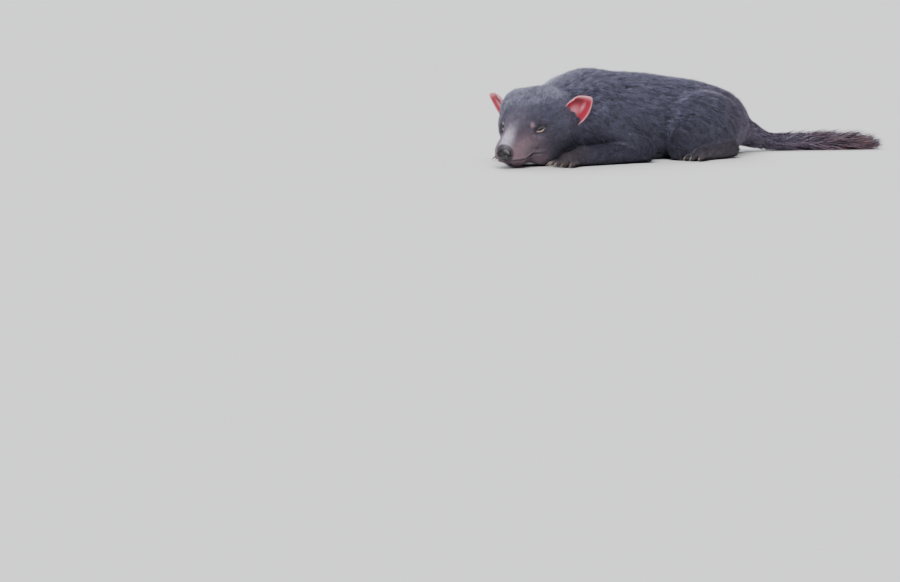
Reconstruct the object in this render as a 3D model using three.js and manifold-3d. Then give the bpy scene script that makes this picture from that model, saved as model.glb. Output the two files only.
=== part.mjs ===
// A Tasmanian devil at life size, lying flat on its belly with its chin on the floor
// and its head turned to its left.
// Millimetres, +Z up. The head points to -X and the animal's left side faces -Y.
//
// The flesh is one smooth field: a signed distance made of blended masses such as ribs, haunch and cheek.
// skinOf() lays a net of faces over the field inside a box, and each named node is the part of that skin
// inside its own region, cut GAP wide from its neighbours.
import * as THREE from 'three';
import { mergeVertices } from 'three/addons/utils/BufferGeometryUtils.js';
import Module from 'manifold-3d';

const wasm = await Module();
wasm.setup();

// Driving dimensions
const GAP = 0.3; // seam between neighbouring nodes
const BACK_HEIGHT = 121; // floor to the top of the shoulders, coat included
const HIP_HEIGHT = 104;
const CHEST_HALF_WIDTH = 66;
const HIP_X = 130; // centre of the hips
const SHOULDER_X = -22; // centre of the chest
const RUMP_X = 190; // centre of the last mass before the tail
const HEAD_CENTRE = [-142, -30, 64];
const HEAD_YAW = 28; // degrees that the face turns to the animal's left
const HEAD_PITCH = 25; // degrees that the nose points down
const EYE_RADIUS = 6.6;
const EYE_SLIT_WIDTH = 13; // corner to corner of the nearly closed lids
const EYE_SLIT_OPENING = 3.4;
const EAR_HEIGHT = 40;
const EAR_HALF_WIDTH = 17;
const EAR_THICKNESS = 2.2;
const FORE_TOES = 5;
const HIND_TOES = 4;
const BIG = 1200; // larger than the animal, for the boxes that trim it

const radians = THREE.MathUtils.degToRad;
const vector = ([x, y, z]) => new THREE.Vector3(x, y, z);
const side = (s, [x, y, z]) => [x, s * y, z];

// Field pieces. Each is a function of x, y, z that is negative inside the flesh.

const ellipsoid = ([cx, cy, cz], [rx, ry, rz]) => (x, y, z) => {
  const [a, b, c] = [(x - cx) / rx, (y - cy) / ry, (z - cz) / rz];
  const reach = Math.hypot(a, b, c);
  const slope = Math.hypot(a / rx, b / ry, c / rz);
  return slope < 1e-9 ? -Math.min(rx, ry, rz) : (reach * (reach - 1)) / slope;
};

// A rod from a to b whose radius goes from ra to rb.
const taper = ([ax, ay, az], [bx, by, bz], ra, rb) => {
  const [dx, dy, dz] = [bx - ax, by - ay, bz - az];
  const lengthSquared = dx * dx + dy * dy + dz * dz;
  return (x, y, z) => {
    const along = ((x - ax) * dx + (y - ay) * dy + (z - az) * dz) / lengthSquared;
    const t = Math.min(1, Math.max(0, along));
    return Math.hypot(x - ax - t * dx, y - ay - t * dy, z - az - t * dz) - ra - t * (rb - ra);
  };
};

const softMin = (a, b, k) => {
  const h = Math.max(k - Math.abs(a - b), 0) / k;
  return Math.min(a, b) - (h * h * k) / 4;
};

const blend = (k, first, ...others) => (x, y, z) =>
  others.reduce((d, field) => softMin(d, field(x, y, z), k), first(x, y, z));

const hollowed = (k, field, hollow) => (x, y, z) => -softMin(-field(x, y, z), hollow(x, y, z), k);

const bothSides = (field) => (x, y, z) => field(x, Math.abs(y), z);

// A field written in another frame, such as the head's, set in the animal's frame.
const placed = (field, frame) => {
  const m = frame.clone().invert().elements;
  return (x, y, z) =>
    field(
      m[0] * x + m[4] * y + m[8] * z + m[12],
      m[1] * x + m[5] * y + m[9] * z + m[13],
      m[2] * x + m[6] * y + m[10] * z + m[14],
    );
};

// The head's frame: x forward along the muzzle, y to the head's own left, z out of the crown.
const headFrame = new THREE.Matrix4()
  .makeTranslation(...HEAD_CENTRE)
  .multiply(new THREE.Matrix4().makeRotationZ(Math.PI + radians(HEAD_YAW)))
  .multiply(new THREE.Matrix4().makeRotationY(radians(HEAD_PITCH)));
const fromHead = (p) => vector(p).applyMatrix4(headFrame).toArray();

// Trunk and neck

const trunk = blend(
  30,
  ellipsoid([SHOULDER_X, 0, BACK_HEIGHT - 70], [76, CHEST_HALF_WIDTH, 64]),
  ellipsoid([46, 0, 52], [90, CHEST_HALF_WIDTH - 1, 61]),
  ellipsoid([HIP_X, 0, HIP_HEIGHT - 61], [76, 62, 57]),
  ellipsoid([RUMP_X, 0, 40], [33, 40, 37]),
);
const neck = blend(
  20,
  taper([-30, 0, 66], [-118, -22, 59], 50, 38),
  taper([-40, 2, 44], [-112, -16, 36], 42, 32),
);

// Head masses, in the head's frame

const cranium = ellipsoid([-14, 0, -6], [48, 38, 34]);
const temple = bothSides(ellipsoid([-22, 24, 2], [30, 20, 22]));
const cheek = bothSides(ellipsoid([-20, 28, -24], [36, 20, 30]));
const jowl = bothSides(ellipsoid([-2, 20, -42], [38, 19, 22]));
const brow = bothSides(taper([2, 15, 13], [17, 23, 2], 10, 5.5));
const cheekbone = bothSides(taper([23, 20, -20], [-10, 36, -18], 8, 11));
const muzzle = taper([8, 0, -16], [58, 0, -17], 27, 15.5);
const bridge = taper([10, 0, 4], [69, 0, -8.5], 18, 8.5);
const whiskerPad = bothSides(ellipsoid([55, 9.5, -20], [18, 12.5, 13]));
const chin = taper([0, 0, -38], [53, 0, -33], 24, 11.5);
const orbit = bothSides(ellipsoid([25, 28, -7], [9, 7, 6.5]));
const lids = bothSides(ellipsoid([13, 22.5, -8], [8.6, 8.6, 7.6]));
const skullMasses = [cranium, temple, cheek, jowl, muzzle, bridge, whiskerPad, chin, brow, cheekbone];
const headFlesh = blend(4, hollowed(5, blend(10, ...skullMasses), orbit), lids);

// Limbs. Each is folded on the floor beside the trunk; s is -1 for the left leg and 1 for the right.

const foreleg = (s) => {
  const elbow = side(s, [12, 70, 17]);
  return {
    upper: blend(
      14,
      ellipsoid(side(s, [-34, 44, 62]), [42, 25, 45]),
      taper(side(s, [-40, 50, 56]), elbow, 27, 18),
    ),
    lower: taper(elbow, s < 0 ? [-84, -76, 12] : [-74, 58, 12], 18, 12.5),
    elbow,
  };
};

const hindleg = (s) => ({
  upper: blend(
    12,
    ellipsoid(side(s, [126, 54, 43]), [58, 30, 44]),
    taper(side(s, [100, 64, 40]), side(s, [84, 70, 33]), 30, 24),
  ),
  lower: taper(side(s, [80, 70, 19]), side(s, [152, 74, 13]), 20, 13),
});

// A paw lies flat: palm, then toes fanned round the way it points.
function paw({ wrist, ball, wristRadius, ballRadius, toes, toeLength, toeRadius, fan, clawLength }) {
  const forward = vector(ball).sub(vector(wrist)).setZ(0).normalize();
  const across = new THREE.Vector3(-forward.y, forward.x, 0);
  const digits = [];
  for (let i = 0; i < toes; i++) {
    const spread = (2 * i) / (toes - 1) - 1; // -1 to 1 across the paw
    const turn = radians(fan * spread);
    const way = forward.clone().multiplyScalar(Math.cos(turn)).addScaledVector(across, Math.sin(turn));
    const root = vector(ball)
      .addScaledVector(across, spread * ballRadius * 0.78)
      .addScaledVector(forward, -3 * spread * spread)
      .setZ(toeRadius + 2.2);
    const length = toeLength * (1 - 0.16 * spread * spread);
    const tip = root.clone().addScaledVector(way, length).setZ(toeRadius - 0.4);
    digits.push({ root, tip, way, clawLength });
  }
  const palm = blend(
    5,
    taper(wrist, [ball[0], ball[1], ballRadius * 0.62], wristRadius, ballRadius * 0.66),
    ellipsoid([ball[0], ball[1], ballRadius * 0.55], [ballRadius * 0.95, ballRadius, ballRadius * 0.6]),
  );
  const toeEnds = vector(ball).addScaledVector(forward, toeLength).toArray();
  return { palm, digits, toeRadius, wrist, wristRadius, toeEnds, ballRadius };
}

const forepaws = {
  left: paw({
    wrist: [-84, -76, 14], ball: [-108, -79, 9], wristRadius: 12, ballRadius: 15,
    toes: FORE_TOES, toeLength: 17, toeRadius: 4.6, fan: 24, clawLength: 13,
  }),
  right: paw({
    wrist: [-74, 58, 14], ball: [-101, 52, 9], wristRadius: 12, ballRadius: 15,
    toes: FORE_TOES, toeLength: 17, toeRadius: 4.6, fan: 24, clawLength: 13,
  }),
};
const hindpaw = (s) =>
  paw({
    wrist: side(s, [150, 78, 12]), ball: side(s, [92, 90, 9]), wristRadius: 11.5, ballRadius: 14,
    toes: HIND_TOES, toeLength: 16, toeRadius: 4.9, fan: 13, clawLength: 10,
  });
const hindpaws = { left: hindpaw(-1), right: hindpaw(1) };

// Tail: a thick root off the rump that comes down to lie along the floor, bending a little to the left.
const tailLine = new THREE.CatmullRomCurve3(
  [[196, 0, 42], [228, -1, 27], [258, -6, 15], [300, -17, 9.5], [350, -36, 8], [394, -60, 7]].map(vector),
);
const tailRadius = (t) => THREE.MathUtils.lerp(25, 12, THREE.MathUtils.smoothstep(t, 0, 0.4)) - 6 * t;
const TAIL_LINKS = 12;
const tailLinks = Array.from({ length: TAIL_LINKS }, (_, i) => {
  const [t, u] = [i / TAIL_LINKS, (i + 1) / TAIL_LINKS];
  const ends = [t, u].map((v) => tailLine.getPointAt(v).toArray());
  return taper(...ends, tailRadius(t), tailRadius(u));
});
const tail = blend(4, ...tailLinks);

// All the flesh

const fores = { left: foreleg(-1), right: foreleg(1) };
const hinds = { left: hindleg(-1), right: hindleg(1) };
const head = placed(headFlesh, headFrame);
const body = blend(
  14,
  blend(22, trunk, neck),
  head,
  fores.left.upper, fores.right.upper, hinds.left.upper, hinds.right.upper,
  tail,
);
const flesh = blend(
  5,
  body,
  fores.left.lower, fores.right.lower, hinds.left.lower, hinds.right.lower,
  forepaws.left.palm, forepaws.right.palm, hindpaws.left.palm, hindpaws.right.palm,
);

// Surfaces and solids

// The closed skin of a field inside a box, as quads split in two, with its corners drawn onto the field.
function skinOf(field, low, high, step) {
  const counts = low.map((v, a) => Math.ceil((high[a] - v) / step) + 1);
  const [nx, ny, nz] = counts;
  const index = (i, j, k) => (k * ny + j) * nx + i;
  const values = new Float64Array(nx * ny * nz);
  for (let k = 0; k < nz; k++)
    for (let j = 0; j < ny; j++)
      for (let i = 0; i < nx; i++) {
        const onRim = [i, j, k].some((v, a) => v === 0 || v === counts[a] - 1);
        const d = onRim ? step / 2 : field(low[0] + i * step, low[1] + j * step, low[2] + k * step);
        values[index(i, j, k)] = Math.abs(d) < 1e-6 ? 1e-6 : d;
      }
  const steps = [[1, 0, 0], [0, 1, 0], [0, 0, 1]];
  fillCrossings(values, counts, index, steps);
  const corners = [0, 1, 2, 3, 4, 5, 6, 7].map((c) => [c & 1, (c >> 1) & 1, c >> 2]);
  const apart = (p, q) => p.reduce((n, v, i) => n + Math.abs(v - q[i]), 0);
  const edges = corners.flatMap((p, a) =>
    corners.slice(a + 1).filter((q) => apart(p, q) === 1).map((q) => [p, q]),
  );
  const vertexOf = new Map();
  const positions = [];
  for (let k = 0; k < nz - 1; k++)
    for (let j = 0; j < ny - 1; j++)
      for (let i = 0; i < nx - 1; i++) {
        const sum = [0, 0, 0];
        let crossings = 0;
        for (const [p, q] of edges) {
          const a = values[index(i + p[0], j + p[1], k + p[2])];
          const b = values[index(i + q[0], j + q[1], k + q[2])];
          if (a < 0 === b < 0) continue;
          const t = a / (a - b);
          [i, j, k].forEach((base, n) => (sum[n] += base + p[n] + t * (q[n] - p[n])));
          crossings++;
        }
        if (!crossings) continue;
        vertexOf.set(index(i, j, k), positions.length / 3);
        const point = sum.map((v, n) => low[n] + (v / crossings) * step);
        positions.push(...drawnOnto(field, point, step));
      }
  const faces = [];
  const distance = (p, q) =>
    Math.hypot(...[0, 1, 2].map((n) => positions[3 * p + n] - positions[3 * q + n]));
  const quad = (a, b, c, d, flip) => {
    const ring = flip ? [d, c, b, a] : [a, b, c, d];
    const [p, q, r, s] = distance(a, c) <= distance(b, d) ? ring : [ring[1], ring[2], ring[3], ring[0]];
    faces.push(p, q, r, p, r, s);
  };
  for (let k = 0; k < nz - 1; k++)
    for (let j = 0; j < ny - 1; j++)
      for (let i = 0; i < nx - 1; i++)
        for (let axis = 0; axis < 3; axis++) {
          if ([i, j, k].some((v, a) => a !== axis && v === 0)) continue;
          const here = values[index(i, j, k)];
          const there = values[index(i + steps[axis][0], j + steps[axis][1], k + steps[axis][2])];
          if (here < 0 === there < 0) continue;
          const [u, v] = [steps[(axis + 1) % 3], steps[(axis + 2) % 3]];
          const cell = (m, n) =>
            vertexOf.get(index(i - m * u[0] - n * v[0], j - m * u[1] - n * v[1], k - m * u[2] - n * v[2]));
          quad(cell(1, 1), cell(0, 1), cell(0, 0), cell(1, 0), here >= 0);
        }
  const geometry = new THREE.BufferGeometry();
  geometry.setAttribute('position', new THREE.Float32BufferAttribute(positions, 3));
  geometry.setIndex(faces);
  return geometry;
}

// Where a square of four grid points has its inside ones on one diagonal and its outside ones on the other,
// the net would meet itself along a line. The outside point nearest the flesh is filled, so that it can't.
function fillCrossings(values, [nx, ny, nz], index, steps) {
  for (let changed = true; changed; ) {
    changed = false;
    for (let k = 1; k < nz - 2; k++)
      for (let j = 1; j < ny - 2; j++)
        for (let i = 1; i < nx - 2; i++)
          for (let axis = 0; axis < 3; axis++) {
            const [u, v] = [steps[(axis + 1) % 3], steps[(axis + 2) % 3]];
            const square = [[0, 0], [1, 0], [1, 1], [0, 1]].map(([m, n]) =>
              index(i + m * u[0] + n * v[0], j + m * u[1] + n * v[1], k + m * u[2] + n * v[2]),
            );
            const [a, b, c, d] = square.map((at) => values[at] < 0);
            if (a !== c || b !== d || a === b) continue;
            const outside = square.filter((at) => values[at] >= 0);
            const nearest = values[outside[0]] < values[outside[1]] ? outside[0] : outside[1];
            values[nearest] = -1e-6;
            changed = true;
          }
  }
}

// The skin of all the flesh inside a box.
const fleshSkin = (step, low, high) => solid(skinOf(flesh, low, high, step));

// Moves a point of the net along the field's slope until it lies on the skin, where the skin is near.
function drawnOnto(field, point, step) {
  let [x, y, z] = point;
  const reach = 0.5;
  for (let pass = 0; pass < 2; pass++) {
    const d = field(x, y, z);
    if (Math.abs(d) > 0.6 * step) return point;
    const slope = [
      (field(x + reach, y, z) - field(x - reach, y, z)) / (2 * reach),
      (field(x, y + reach, z) - field(x, y - reach, z)) / (2 * reach),
      (field(x, y, z + reach) - field(x, y, z - reach)) / (2 * reach),
    ];
    const steepness = slope.reduce((n, v) => n + v * v, 0);
    if (steepness < 0.05) return point;
    [x, y, z] = [x, y, z].map((v, n) => v - (d * slope[n]) / steepness);
  }
  return [x, y, z];
}

// A closed solid. A geometry whose faces all point in, as after a mirroring, is turned right side out.
function solid(geometry) {
  const bare = new THREE.BufferGeometry().setAttribute('position', geometry.getAttribute('position'));
  bare.setIndex(geometry.index);
  const merged = mergeVertices(bare, 1e-4);
  const corners = Uint32Array.from(merged.index.array);
  const vertProperties = new Float32Array(merged.attributes.position.array);
  const closed = () => new wasm.Manifold(new wasm.Mesh({ numProp: 3, vertProperties, triVerts: corners }));
  const made = closed();
  if (made.volume() > 0) return made;
  corners.reverse();
  return closed();
}

function geometryOf(made) {
  const mesh = made.getMesh();
  const geometry = new THREE.BufferGeometry();
  geometry.setAttribute('position', new THREE.BufferAttribute(new Float32Array(mesh.vertProperties), 3));
  geometry.setIndex(new THREE.BufferAttribute(new Uint32Array(mesh.triVerts), 1));
  return geometry;
}

// The same solid with each corner pushed out along its normal, so that it keeps the gap all round.
function thickened(made) {
  const wider = geometryOf(made);
  wider.computeVertexNormals();
  const [points, normals] = [wider.getAttribute('position'), wider.getAttribute('normal')];
  for (let i = 0; i < points.count; i++)
    points.setXYZ(
      i,
      points.getX(i) + GAP * normals.getX(i),
      points.getY(i) + GAP * normals.getY(i),
      points.getZ(i) + GAP * normals.getZ(i),
    );
  return solid(wider).add(made);
}

// A box that fills the space on the far side of a plane, the way the normal points.
function beyond(point, normal) {
  const way = vector(normal).normalize();
  const box = new THREE.BoxGeometry(BIG, BIG, BIG).applyMatrix4(
    new THREE.Matrix4().makeRotationFromQuaternion(
      new THREE.Quaternion().setFromUnitVectors(new THREE.Vector3(0, 0, 1), way),
    ),
  );
  const centre = vector(point).addScaledVector(way, BIG / 2);
  return solid(box.translate(centre.x, centre.y, centre.z));
}

const largest = (made) => made.decompose().sort((a, b) => b.volume() - a.volume())[0];

const underFloor = beyond([0, 0, 0], [0, 0, -1]);

const sides = { left: -1, right: 1 };
const box = (s, [x0, x1], [y0, y1], [z0, z1]) =>
  s < 0 ? [[x0, -y1, z0], [x1, -y0, z1]] : [[x0, y0, z0], [x1, y1, z1]];

// A rod with round ends whose radius goes from ra to rb.
const CAPSULE_SIDES = 14;
function capsule(from, to, ra, rb) {
  const length = vector(from).distanceTo(vector(to));
  const quarter = [0, 1, 2, 3].map((i) => (i / 3) * (Math.PI / 2));
  const profile = [
    ...quarter.map((turn) => new THREE.Vector2(ra * Math.sin(turn), -ra * Math.cos(turn))),
    ...quarter.map((turn) => new THREE.Vector2(rb * Math.cos(turn), length + rb * Math.sin(turn))),
  ];
  profile.at(-1).x = 0;
  const way = vector(to).sub(vector(from)).normalize();
  const turn = new THREE.Quaternion().setFromUnitVectors(new THREE.Vector3(0, 1, 0), way);
  const geometry = new THREE.LatheGeometry(profile, CAPSULE_SIDES).applyQuaternion(turn);
  return solid(geometry.translate(...from));
}

// A block with a leg's outline as seen from the side. The outline starts and ends under the floor,
// and the block runs from the inner plane outwards.
function sideBlock(s, outline, inner, grow) {
  const curve = new THREE.SplineCurve(outline.map(([x, z]) => new THREE.Vector2(x, z)));
  const steps = 18;
  const points = Array.from({ length: steps + 1 }, (_, i) => {
    const way = curve.getTangent(i / steps);
    return curve.getPoint(i / steps).add(new THREE.Vector2(-way.y, way.x).multiplyScalar(grow));
  });
  const geometry = new THREE.ExtrudeGeometry(new THREE.Shape(points), {
    depth: BIG / 8,
    bevelEnabled: false,
  });
  const [along, upright, outward] = [[1, 0, 0], [0, 0, 1], [0, s, 0]].map(vector);
  geometry.applyMatrix4(new THREE.Matrix4().makeBasis(along, upright, outward));
  geometry.translate(0, s * (inner - grow), 0);
  return solid(geometry);
}

// A region holds one limb: exact for the limb's own node, wider by the gap for its neighbours.
const region = (made) => ({ own: made(0), others: made(GAP) });

const shoulderOutline = [
  [-78, -30], [-80, 20], [-74, 60], [-58, 90], [-34, 101],
  [-10, 92], [8, 66], [26, 44], [38, 16], [36, -30],
];
const thighOutline = [
  [58, -30], [56, 16], [66, 50], [88, 78], [120, 89], [152, 84], [176, 62], [188, 30], [186, -30],
];
const regions = {};
for (const [name, s] of Object.entries(sides)) {
  const [hand, foot, leg] = [forepaws[name], hindpaws[name], fores[name]];
  regions[`foreleg_${name}`] = region((grow) =>
    sideBlock(s, shoulderOutline, 34, grow).add(capsule(leg.elbow, hand.wrist, 22 + grow, 17 + grow)),
  );
  regions[`hindleg_${name}`] = region((grow) => sideBlock(s, thighOutline, 36, grow));
  for (const [paws, limb] of [['forepaw', hand], ['hindfoot', foot]])
    regions[`${paws}_${name}`] = region((grow) =>
      capsule(limb.wrist, limb.toeEnds, limb.wristRadius + 6 + grow, limb.ballRadius + 7 + grow),
    );
}

const cutFrom = (made, ...names) => names.reduce((left, name) => left.subtract(regions[name].others), made);

// A horn or a toe: rings along a bent line, flat-sided by narrow, closed at both ends.
function bentRod(line, across, radiusAt, narrow, rings, sidesOfRing) {
  const points = [];
  for (let r = 0; r < rings; r++) {
    const t = r / rings;
    const centre = line.getPoint(t);
    const up = new THREE.Vector3().crossVectors(line.getTangent(t), across).normalize();
    for (let i = 0; i < sidesOfRing; i++) {
      const turn = (2 * Math.PI * i) / sidesOfRing;
      points.push(
        centre.clone()
          .addScaledVector(across, narrow * radiusAt(t) * Math.cos(turn))
          .addScaledVector(up, radiusAt(t) * Math.sin(turn)),
      );
    }
  }
  return tubeOf(points, rings, sidesOfRing, line.getPoint(0), line.getPoint(1));
}

// A claw curves down from the end of its toe to touch the floor.
function claw({ tip, way, clawLength }, toeRadius) {
  const root = tip.clone().addScaledVector(way, -toeRadius * 0.2).setZ(tip.z + 1.2);
  const crest = root.clone().addScaledVector(way, clawLength * 0.6).setZ(root.z + 2);
  const end = root.clone().addScaledVector(way, clawLength + 1).setZ(0.9);
  const across = new THREE.Vector3(-way.y, way.x, 0);
  const radiusAt = (t) => 2.6 * Math.sqrt(1 - t * t) * (1 - 0.35 * t);
  return bentRod(new THREE.QuadraticBezierCurve3(root, crest, end), across, radiusAt, 0.72, 4, 5);
}

// A toe bends up at its knuckle and ends in a rounded pad.
function toe({ root, tip, way }, toeRadius) {
  const start = root.clone().addScaledVector(way, -toeRadius * 0.6);
  const end = tip.clone().addScaledVector(way, toeRadius * 0.9);
  const knuckle = start.clone().lerp(end, 0.5).setZ(toeRadius * 2.1);
  const across = new THREE.Vector3(-way.y, way.x, 0);
  const radiusAt = (t) => toeRadius * Math.sqrt(1 - Math.pow(t, 4) * 0.75);
  return bentRod(new THREE.QuadraticBezierCurve3(start, knuckle, end), across, radiusAt, 0.94, 4, 6);
}

// A closed tube from rings of points, with a cap at its start and a point at its end.
function tubeOf(points, rings, sidesOfRing, start, end) {
  const all = [...points, start, end];
  const faces = [];
  for (let i = 0; i < sidesOfRing; i++) {
    const j = (i + 1) % sidesOfRing;
    for (let r = 0; r < rings - 1; r++) {
      const [a, b] = [r * sidesOfRing, (r + 1) * sidesOfRing];
      faces.push(a + i, b + i, a + j, a + j, b + i, b + j);
    }
    const last = (rings - 1) * sidesOfRing;
    faces.push(all.length - 2, i, j, last + i, all.length - 1, last + j);
  }
  const geometry = new THREE.BufferGeometry().setFromPoints(all);
  geometry.setIndex(faces);
  return solid(geometry);
}

const withToes = (made, { digits, toeRadius }) =>
  digits.reduce((all, d) => all.add(toe(d, toeRadius)).add(claw(d, toeRadius)), made);

// Group and materials

const group = new THREE.Group();
const material = (color, roughness) => new THREE.MeshStandardMaterial({ color, roughness, metalness: 0 });
const coat = material(0x34363f, 0.75);
const footSkin = material(0x3a3234, 0.7);
const earSkin = material(0xb0433f, 0.55);
const noseSkin = material(0x2a2426, 0.35);
const eyeBall = material(0x120d0c, 0.08);

function addNode(name, made, finish) {
  const node = new THREE.Mesh(geometryOf(largest(made.subtract(underFloor))), finish);
  node.name = name;
  group.add(node);
  return node;
}

// Trunk, neck and tail

const neckPlane = { point: [-60, 0, 60], normal: [-1, -0.16, 0] };
const tailPlane = { point: [210, 0, 45], normal: [0.9, -0.03, -0.42] };
const napePlane = { point: fromHead([-52, 0, 0]), normal: [-0.92, -0.39, 0] };
const halfGap = ({ point, normal }, sign) =>
  vector(point).addScaledVector(vector(normal).normalize(), (sign * GAP) / 2).toArray();
const flipped = (normal) => normal.map((v) => -v);
const limbs = Object.keys(regions);
const foreLimbs = limbs.filter((name) => name.startsWith('fore'));

const trunkSkin = fleshSkin(17, [-110, -130, -25], [262, 130, 140]);
addNode(
  'torso',
  cutFrom(trunkSkin, ...limbs)
    .subtract(beyond(halfGap(neckPlane, -1), neckPlane.normal))
    .subtract(beyond(halfGap(tailPlane, -1), tailPlane.normal)),
  coat,
);

const neckSkin = fleshSkin(13, [-150, -110, -25], [-28, 90, 140]);
addNode(
  'neck',
  cutFrom(neckSkin, ...foreLimbs)
    .subtract(beyond(halfGap(neckPlane, 1), flipped(neckPlane.normal)))
    .subtract(beyond(halfGap(napePlane, -1), napePlane.normal)),
  coat,
);

// Head with its lids, mouth line and lower jaw

const HEAD_STEP = 6.3;
const headBox = [[-250, -130, -25], [-56, 70, 125]];
const wholeHead = fleshSkin(HEAD_STEP, ...headBox);
const headSkin = cutFrom(wholeHead, ...foreLimbs).subtract(
  beyond(halfGap(napePlane, 1), flipped(napePlane.normal)),
);

const LIP_STEPS = 18;
const headPiece = (geometry) => solid(geometry.applyMatrix4(headFrame));

// The point of the head's skin that a ray in the head's frame first leaves.
function onHead(from, way) {
  const direction = vector(way).normalize();
  const point = vector(from);
  for (let i = 0; i < 60; i++) {
    const d = headFlesh(point.x, point.y, point.z);
    if (Math.abs(d) < 0.02) break;
    point.addScaledVector(direction, -d * 0.8);
  }
  return point;
}

// A rod with a round section along a curve in the head's frame.
function rod(curve, radius, steps, sidesOfRod = 6) {
  const section = new THREE.Shape(
    Array.from({ length: sidesOfRod }, (_, i) => {
      const turn = (2 * Math.PI * i) / sidesOfRod;
      return new THREE.Vector2(radius * Math.cos(turn), radius * Math.sin(turn));
    }),
  );
  return new THREE.ExtrudeGeometry(section, { steps, extrudePath: curve, bevelEnabled: false });
}

// The mouth runs round the muzzle from one corner, under the nose, to the other corner.
const MOUTH_SPREAD = 100; // degrees from the middle of the lips to each corner
const MOUTH_POINTS = 13;
const MOUTH_SLOPE = 0.3; // climb towards the nose, in the head's frame
const mouthHeight = (x) => -27 + MOUTH_SLOPE * (x - 62);
function mouthLine(drop, outward) {
  const points = [];
  for (let i = 0; i < MOUTH_POINTS; i++) {
    const turn = radians(MOUTH_SPREAD * ((2 * i) / (MOUTH_POINTS - 1) - 1));
    const way = [Math.cos(turn), Math.sin(turn), MOUTH_SLOPE * Math.cos(turn)];
    const point = onHead([32, 0, mouthHeight(32) + drop], way);
    points.push(point.addScaledVector(vector(way), outward));
  }
  return new THREE.CatmullRomCurve3(points);
}

// The eye's frame: x out of the pupil.
const eyeFrame = (s) =>
  headFrame
    .clone()
    .multiply(new THREE.Matrix4().makeTranslation(13, s * 22.5, -8))
    .multiply(new THREE.Matrix4().makeRotationZ(s * radians(52)))
    .multiply(new THREE.Matrix4().makeRotationX(s * radians(12)));

// Between the lids: a pointed oval, extruded from the eyeball out through the skin.
function slit(s) {
  const [w, h] = [EYE_SLIT_WIDTH / 2, EYE_SLIT_OPENING];
  const opening = new THREE.Shape();
  opening.moveTo(-w, 0.6);
  opening.quadraticCurveTo(-w * 0.1, h * 0.9, w, -0.5);
  opening.quadraticCurveTo(0, -h * 1.1, -w, 0.6);
  const geometry = new THREE.ExtrudeGeometry(opening, { depth: 14, bevelEnabled: false, curveSegments: 6 });
  const [outward, across, up] = [[1, 0, 0], [0, 1, 0], [0, 0, 1]].map(vector);
  return geometry.applyMatrix4(new THREE.Matrix4().makeBasis(across, up, outward));
}

const eyeDetail = [12, 8];
const eyeBallOf = (s, radius) =>
  solid(new THREE.SphereGeometry(radius, ...eyeDetail).applyMatrix4(eyeFrame(s)));
const slitOf = (s) => solid(slit(s).applyMatrix4(eyeFrame(s)));

// The jaw is the part of the head under the mouth, forward of a cut that runs down
// behind the mouth's corner.
const JAW_HALF_WIDTH = 60;
function jawRegion(margin) {
  const outline = new THREE.Shape();
  outline.moveTo(100, mouthHeight(100) + margin);
  outline.lineTo(44, mouthHeight(44) + margin);
  outline.quadraticCurveTo(30, mouthHeight(30) + margin, 24 - margin, mouthHeight(24) - 4);
  outline.lineTo(12 - margin, -90);
  outline.lineTo(100, -90);
  const plate = new THREE.ExtrudeGeometry(outline, { depth: 2 * JAW_HALF_WIDTH, bevelEnabled: false });
  plate.translate(0, 0, -JAW_HALF_WIDTH);
  plate.applyMatrix4(new THREE.Matrix4().makeRotationX(Math.PI / 2));
  return headPiece(plate);
}

const upperLip = headPiece(rod(mouthLine(2.4, -1.2), 2.3, LIP_STEPS));
const lowerLip = headPiece(rod(mouthLine(-2.0, -1.6), 1.9, LIP_STEPS));
const lipGroove = headPiece(rod(mouthLine(0, 0.6), 0.9, LIP_STEPS, 4));
const philtrum = headPiece(
  rod(
    new THREE.CatmullRomCurve3(
      [-23, -20, -16].map((z) => onHead([50, 0, z], [1, 0, 0]).add(new THREE.Vector3(0.3, 0, 0))),
    ),
    0.9,
    6,
    5,
  ),
);

// Nose pad: a blunt cushion on the end of the muzzle with comma-shaped nostrils.
const nosePad = blend(
  3,
  ellipsoid([75, 0, -12.5], [6.5, 10.5, 8]),
  bothSides(ellipsoid([74.5, 6, -13.5], [6, 5.4, 6])),
);
const nosePiece = solid(skinOf(placed(nosePad, headFrame), ...noseBox(), 4));
function noseBox() {
  const [x, y, z] = fromHead([75, 0, -13]);
  const reach = 18;
  return [[x - reach, y - reach, z - reach], [x + reach, y + reach, z + reach]];
}
const nostril = (s) =>
  headPiece(new THREE.SphereGeometry(2.5, 8, 6).scale(1.5, 0.9, 1.15).translate(80.6, s * 4.6, -12.6)).add(
    headPiece(
      rod(
        new THREE.CatmullRomCurve3([
          new THREE.Vector3(80.4, s * 5, -12.6),
          new THREE.Vector3(79.6, s * 8.4, -14),
          new THREE.Vector3(77.2, s * 11.6, -13.2),
        ]),
        1.2,
        5,
        6,
      ),
    ),
  );

let headSolid = headSkin.add(upperLip).subtract(jawRegion(GAP)).subtract(lipGroove).subtract(philtrum);
headSolid = headSolid.subtract(thickened(nosePiece));
for (const s of Object.values(sides))
  headSolid = headSolid.subtract(eyeBallOf(s, EYE_RADIUS + GAP)).subtract(slitOf(s));
addNode('head', headSolid, coat);
addNode('lower_jaw', headSkin.add(lowerLip).intersect(jawRegion(0)).subtract(lipGroove), coat);
addNode('nose', nosePiece.subtract(nostril(-1)).subtract(nostril(1)), noseSkin);
for (const [name, s] of Object.entries(sides)) addNode(`eye_${name}`, eyeBallOf(-s, EYE_RADIUS), eyeBall);

// Ears: a thin cup, open forwards and outwards, with its root sunk to the head's skin.

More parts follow.
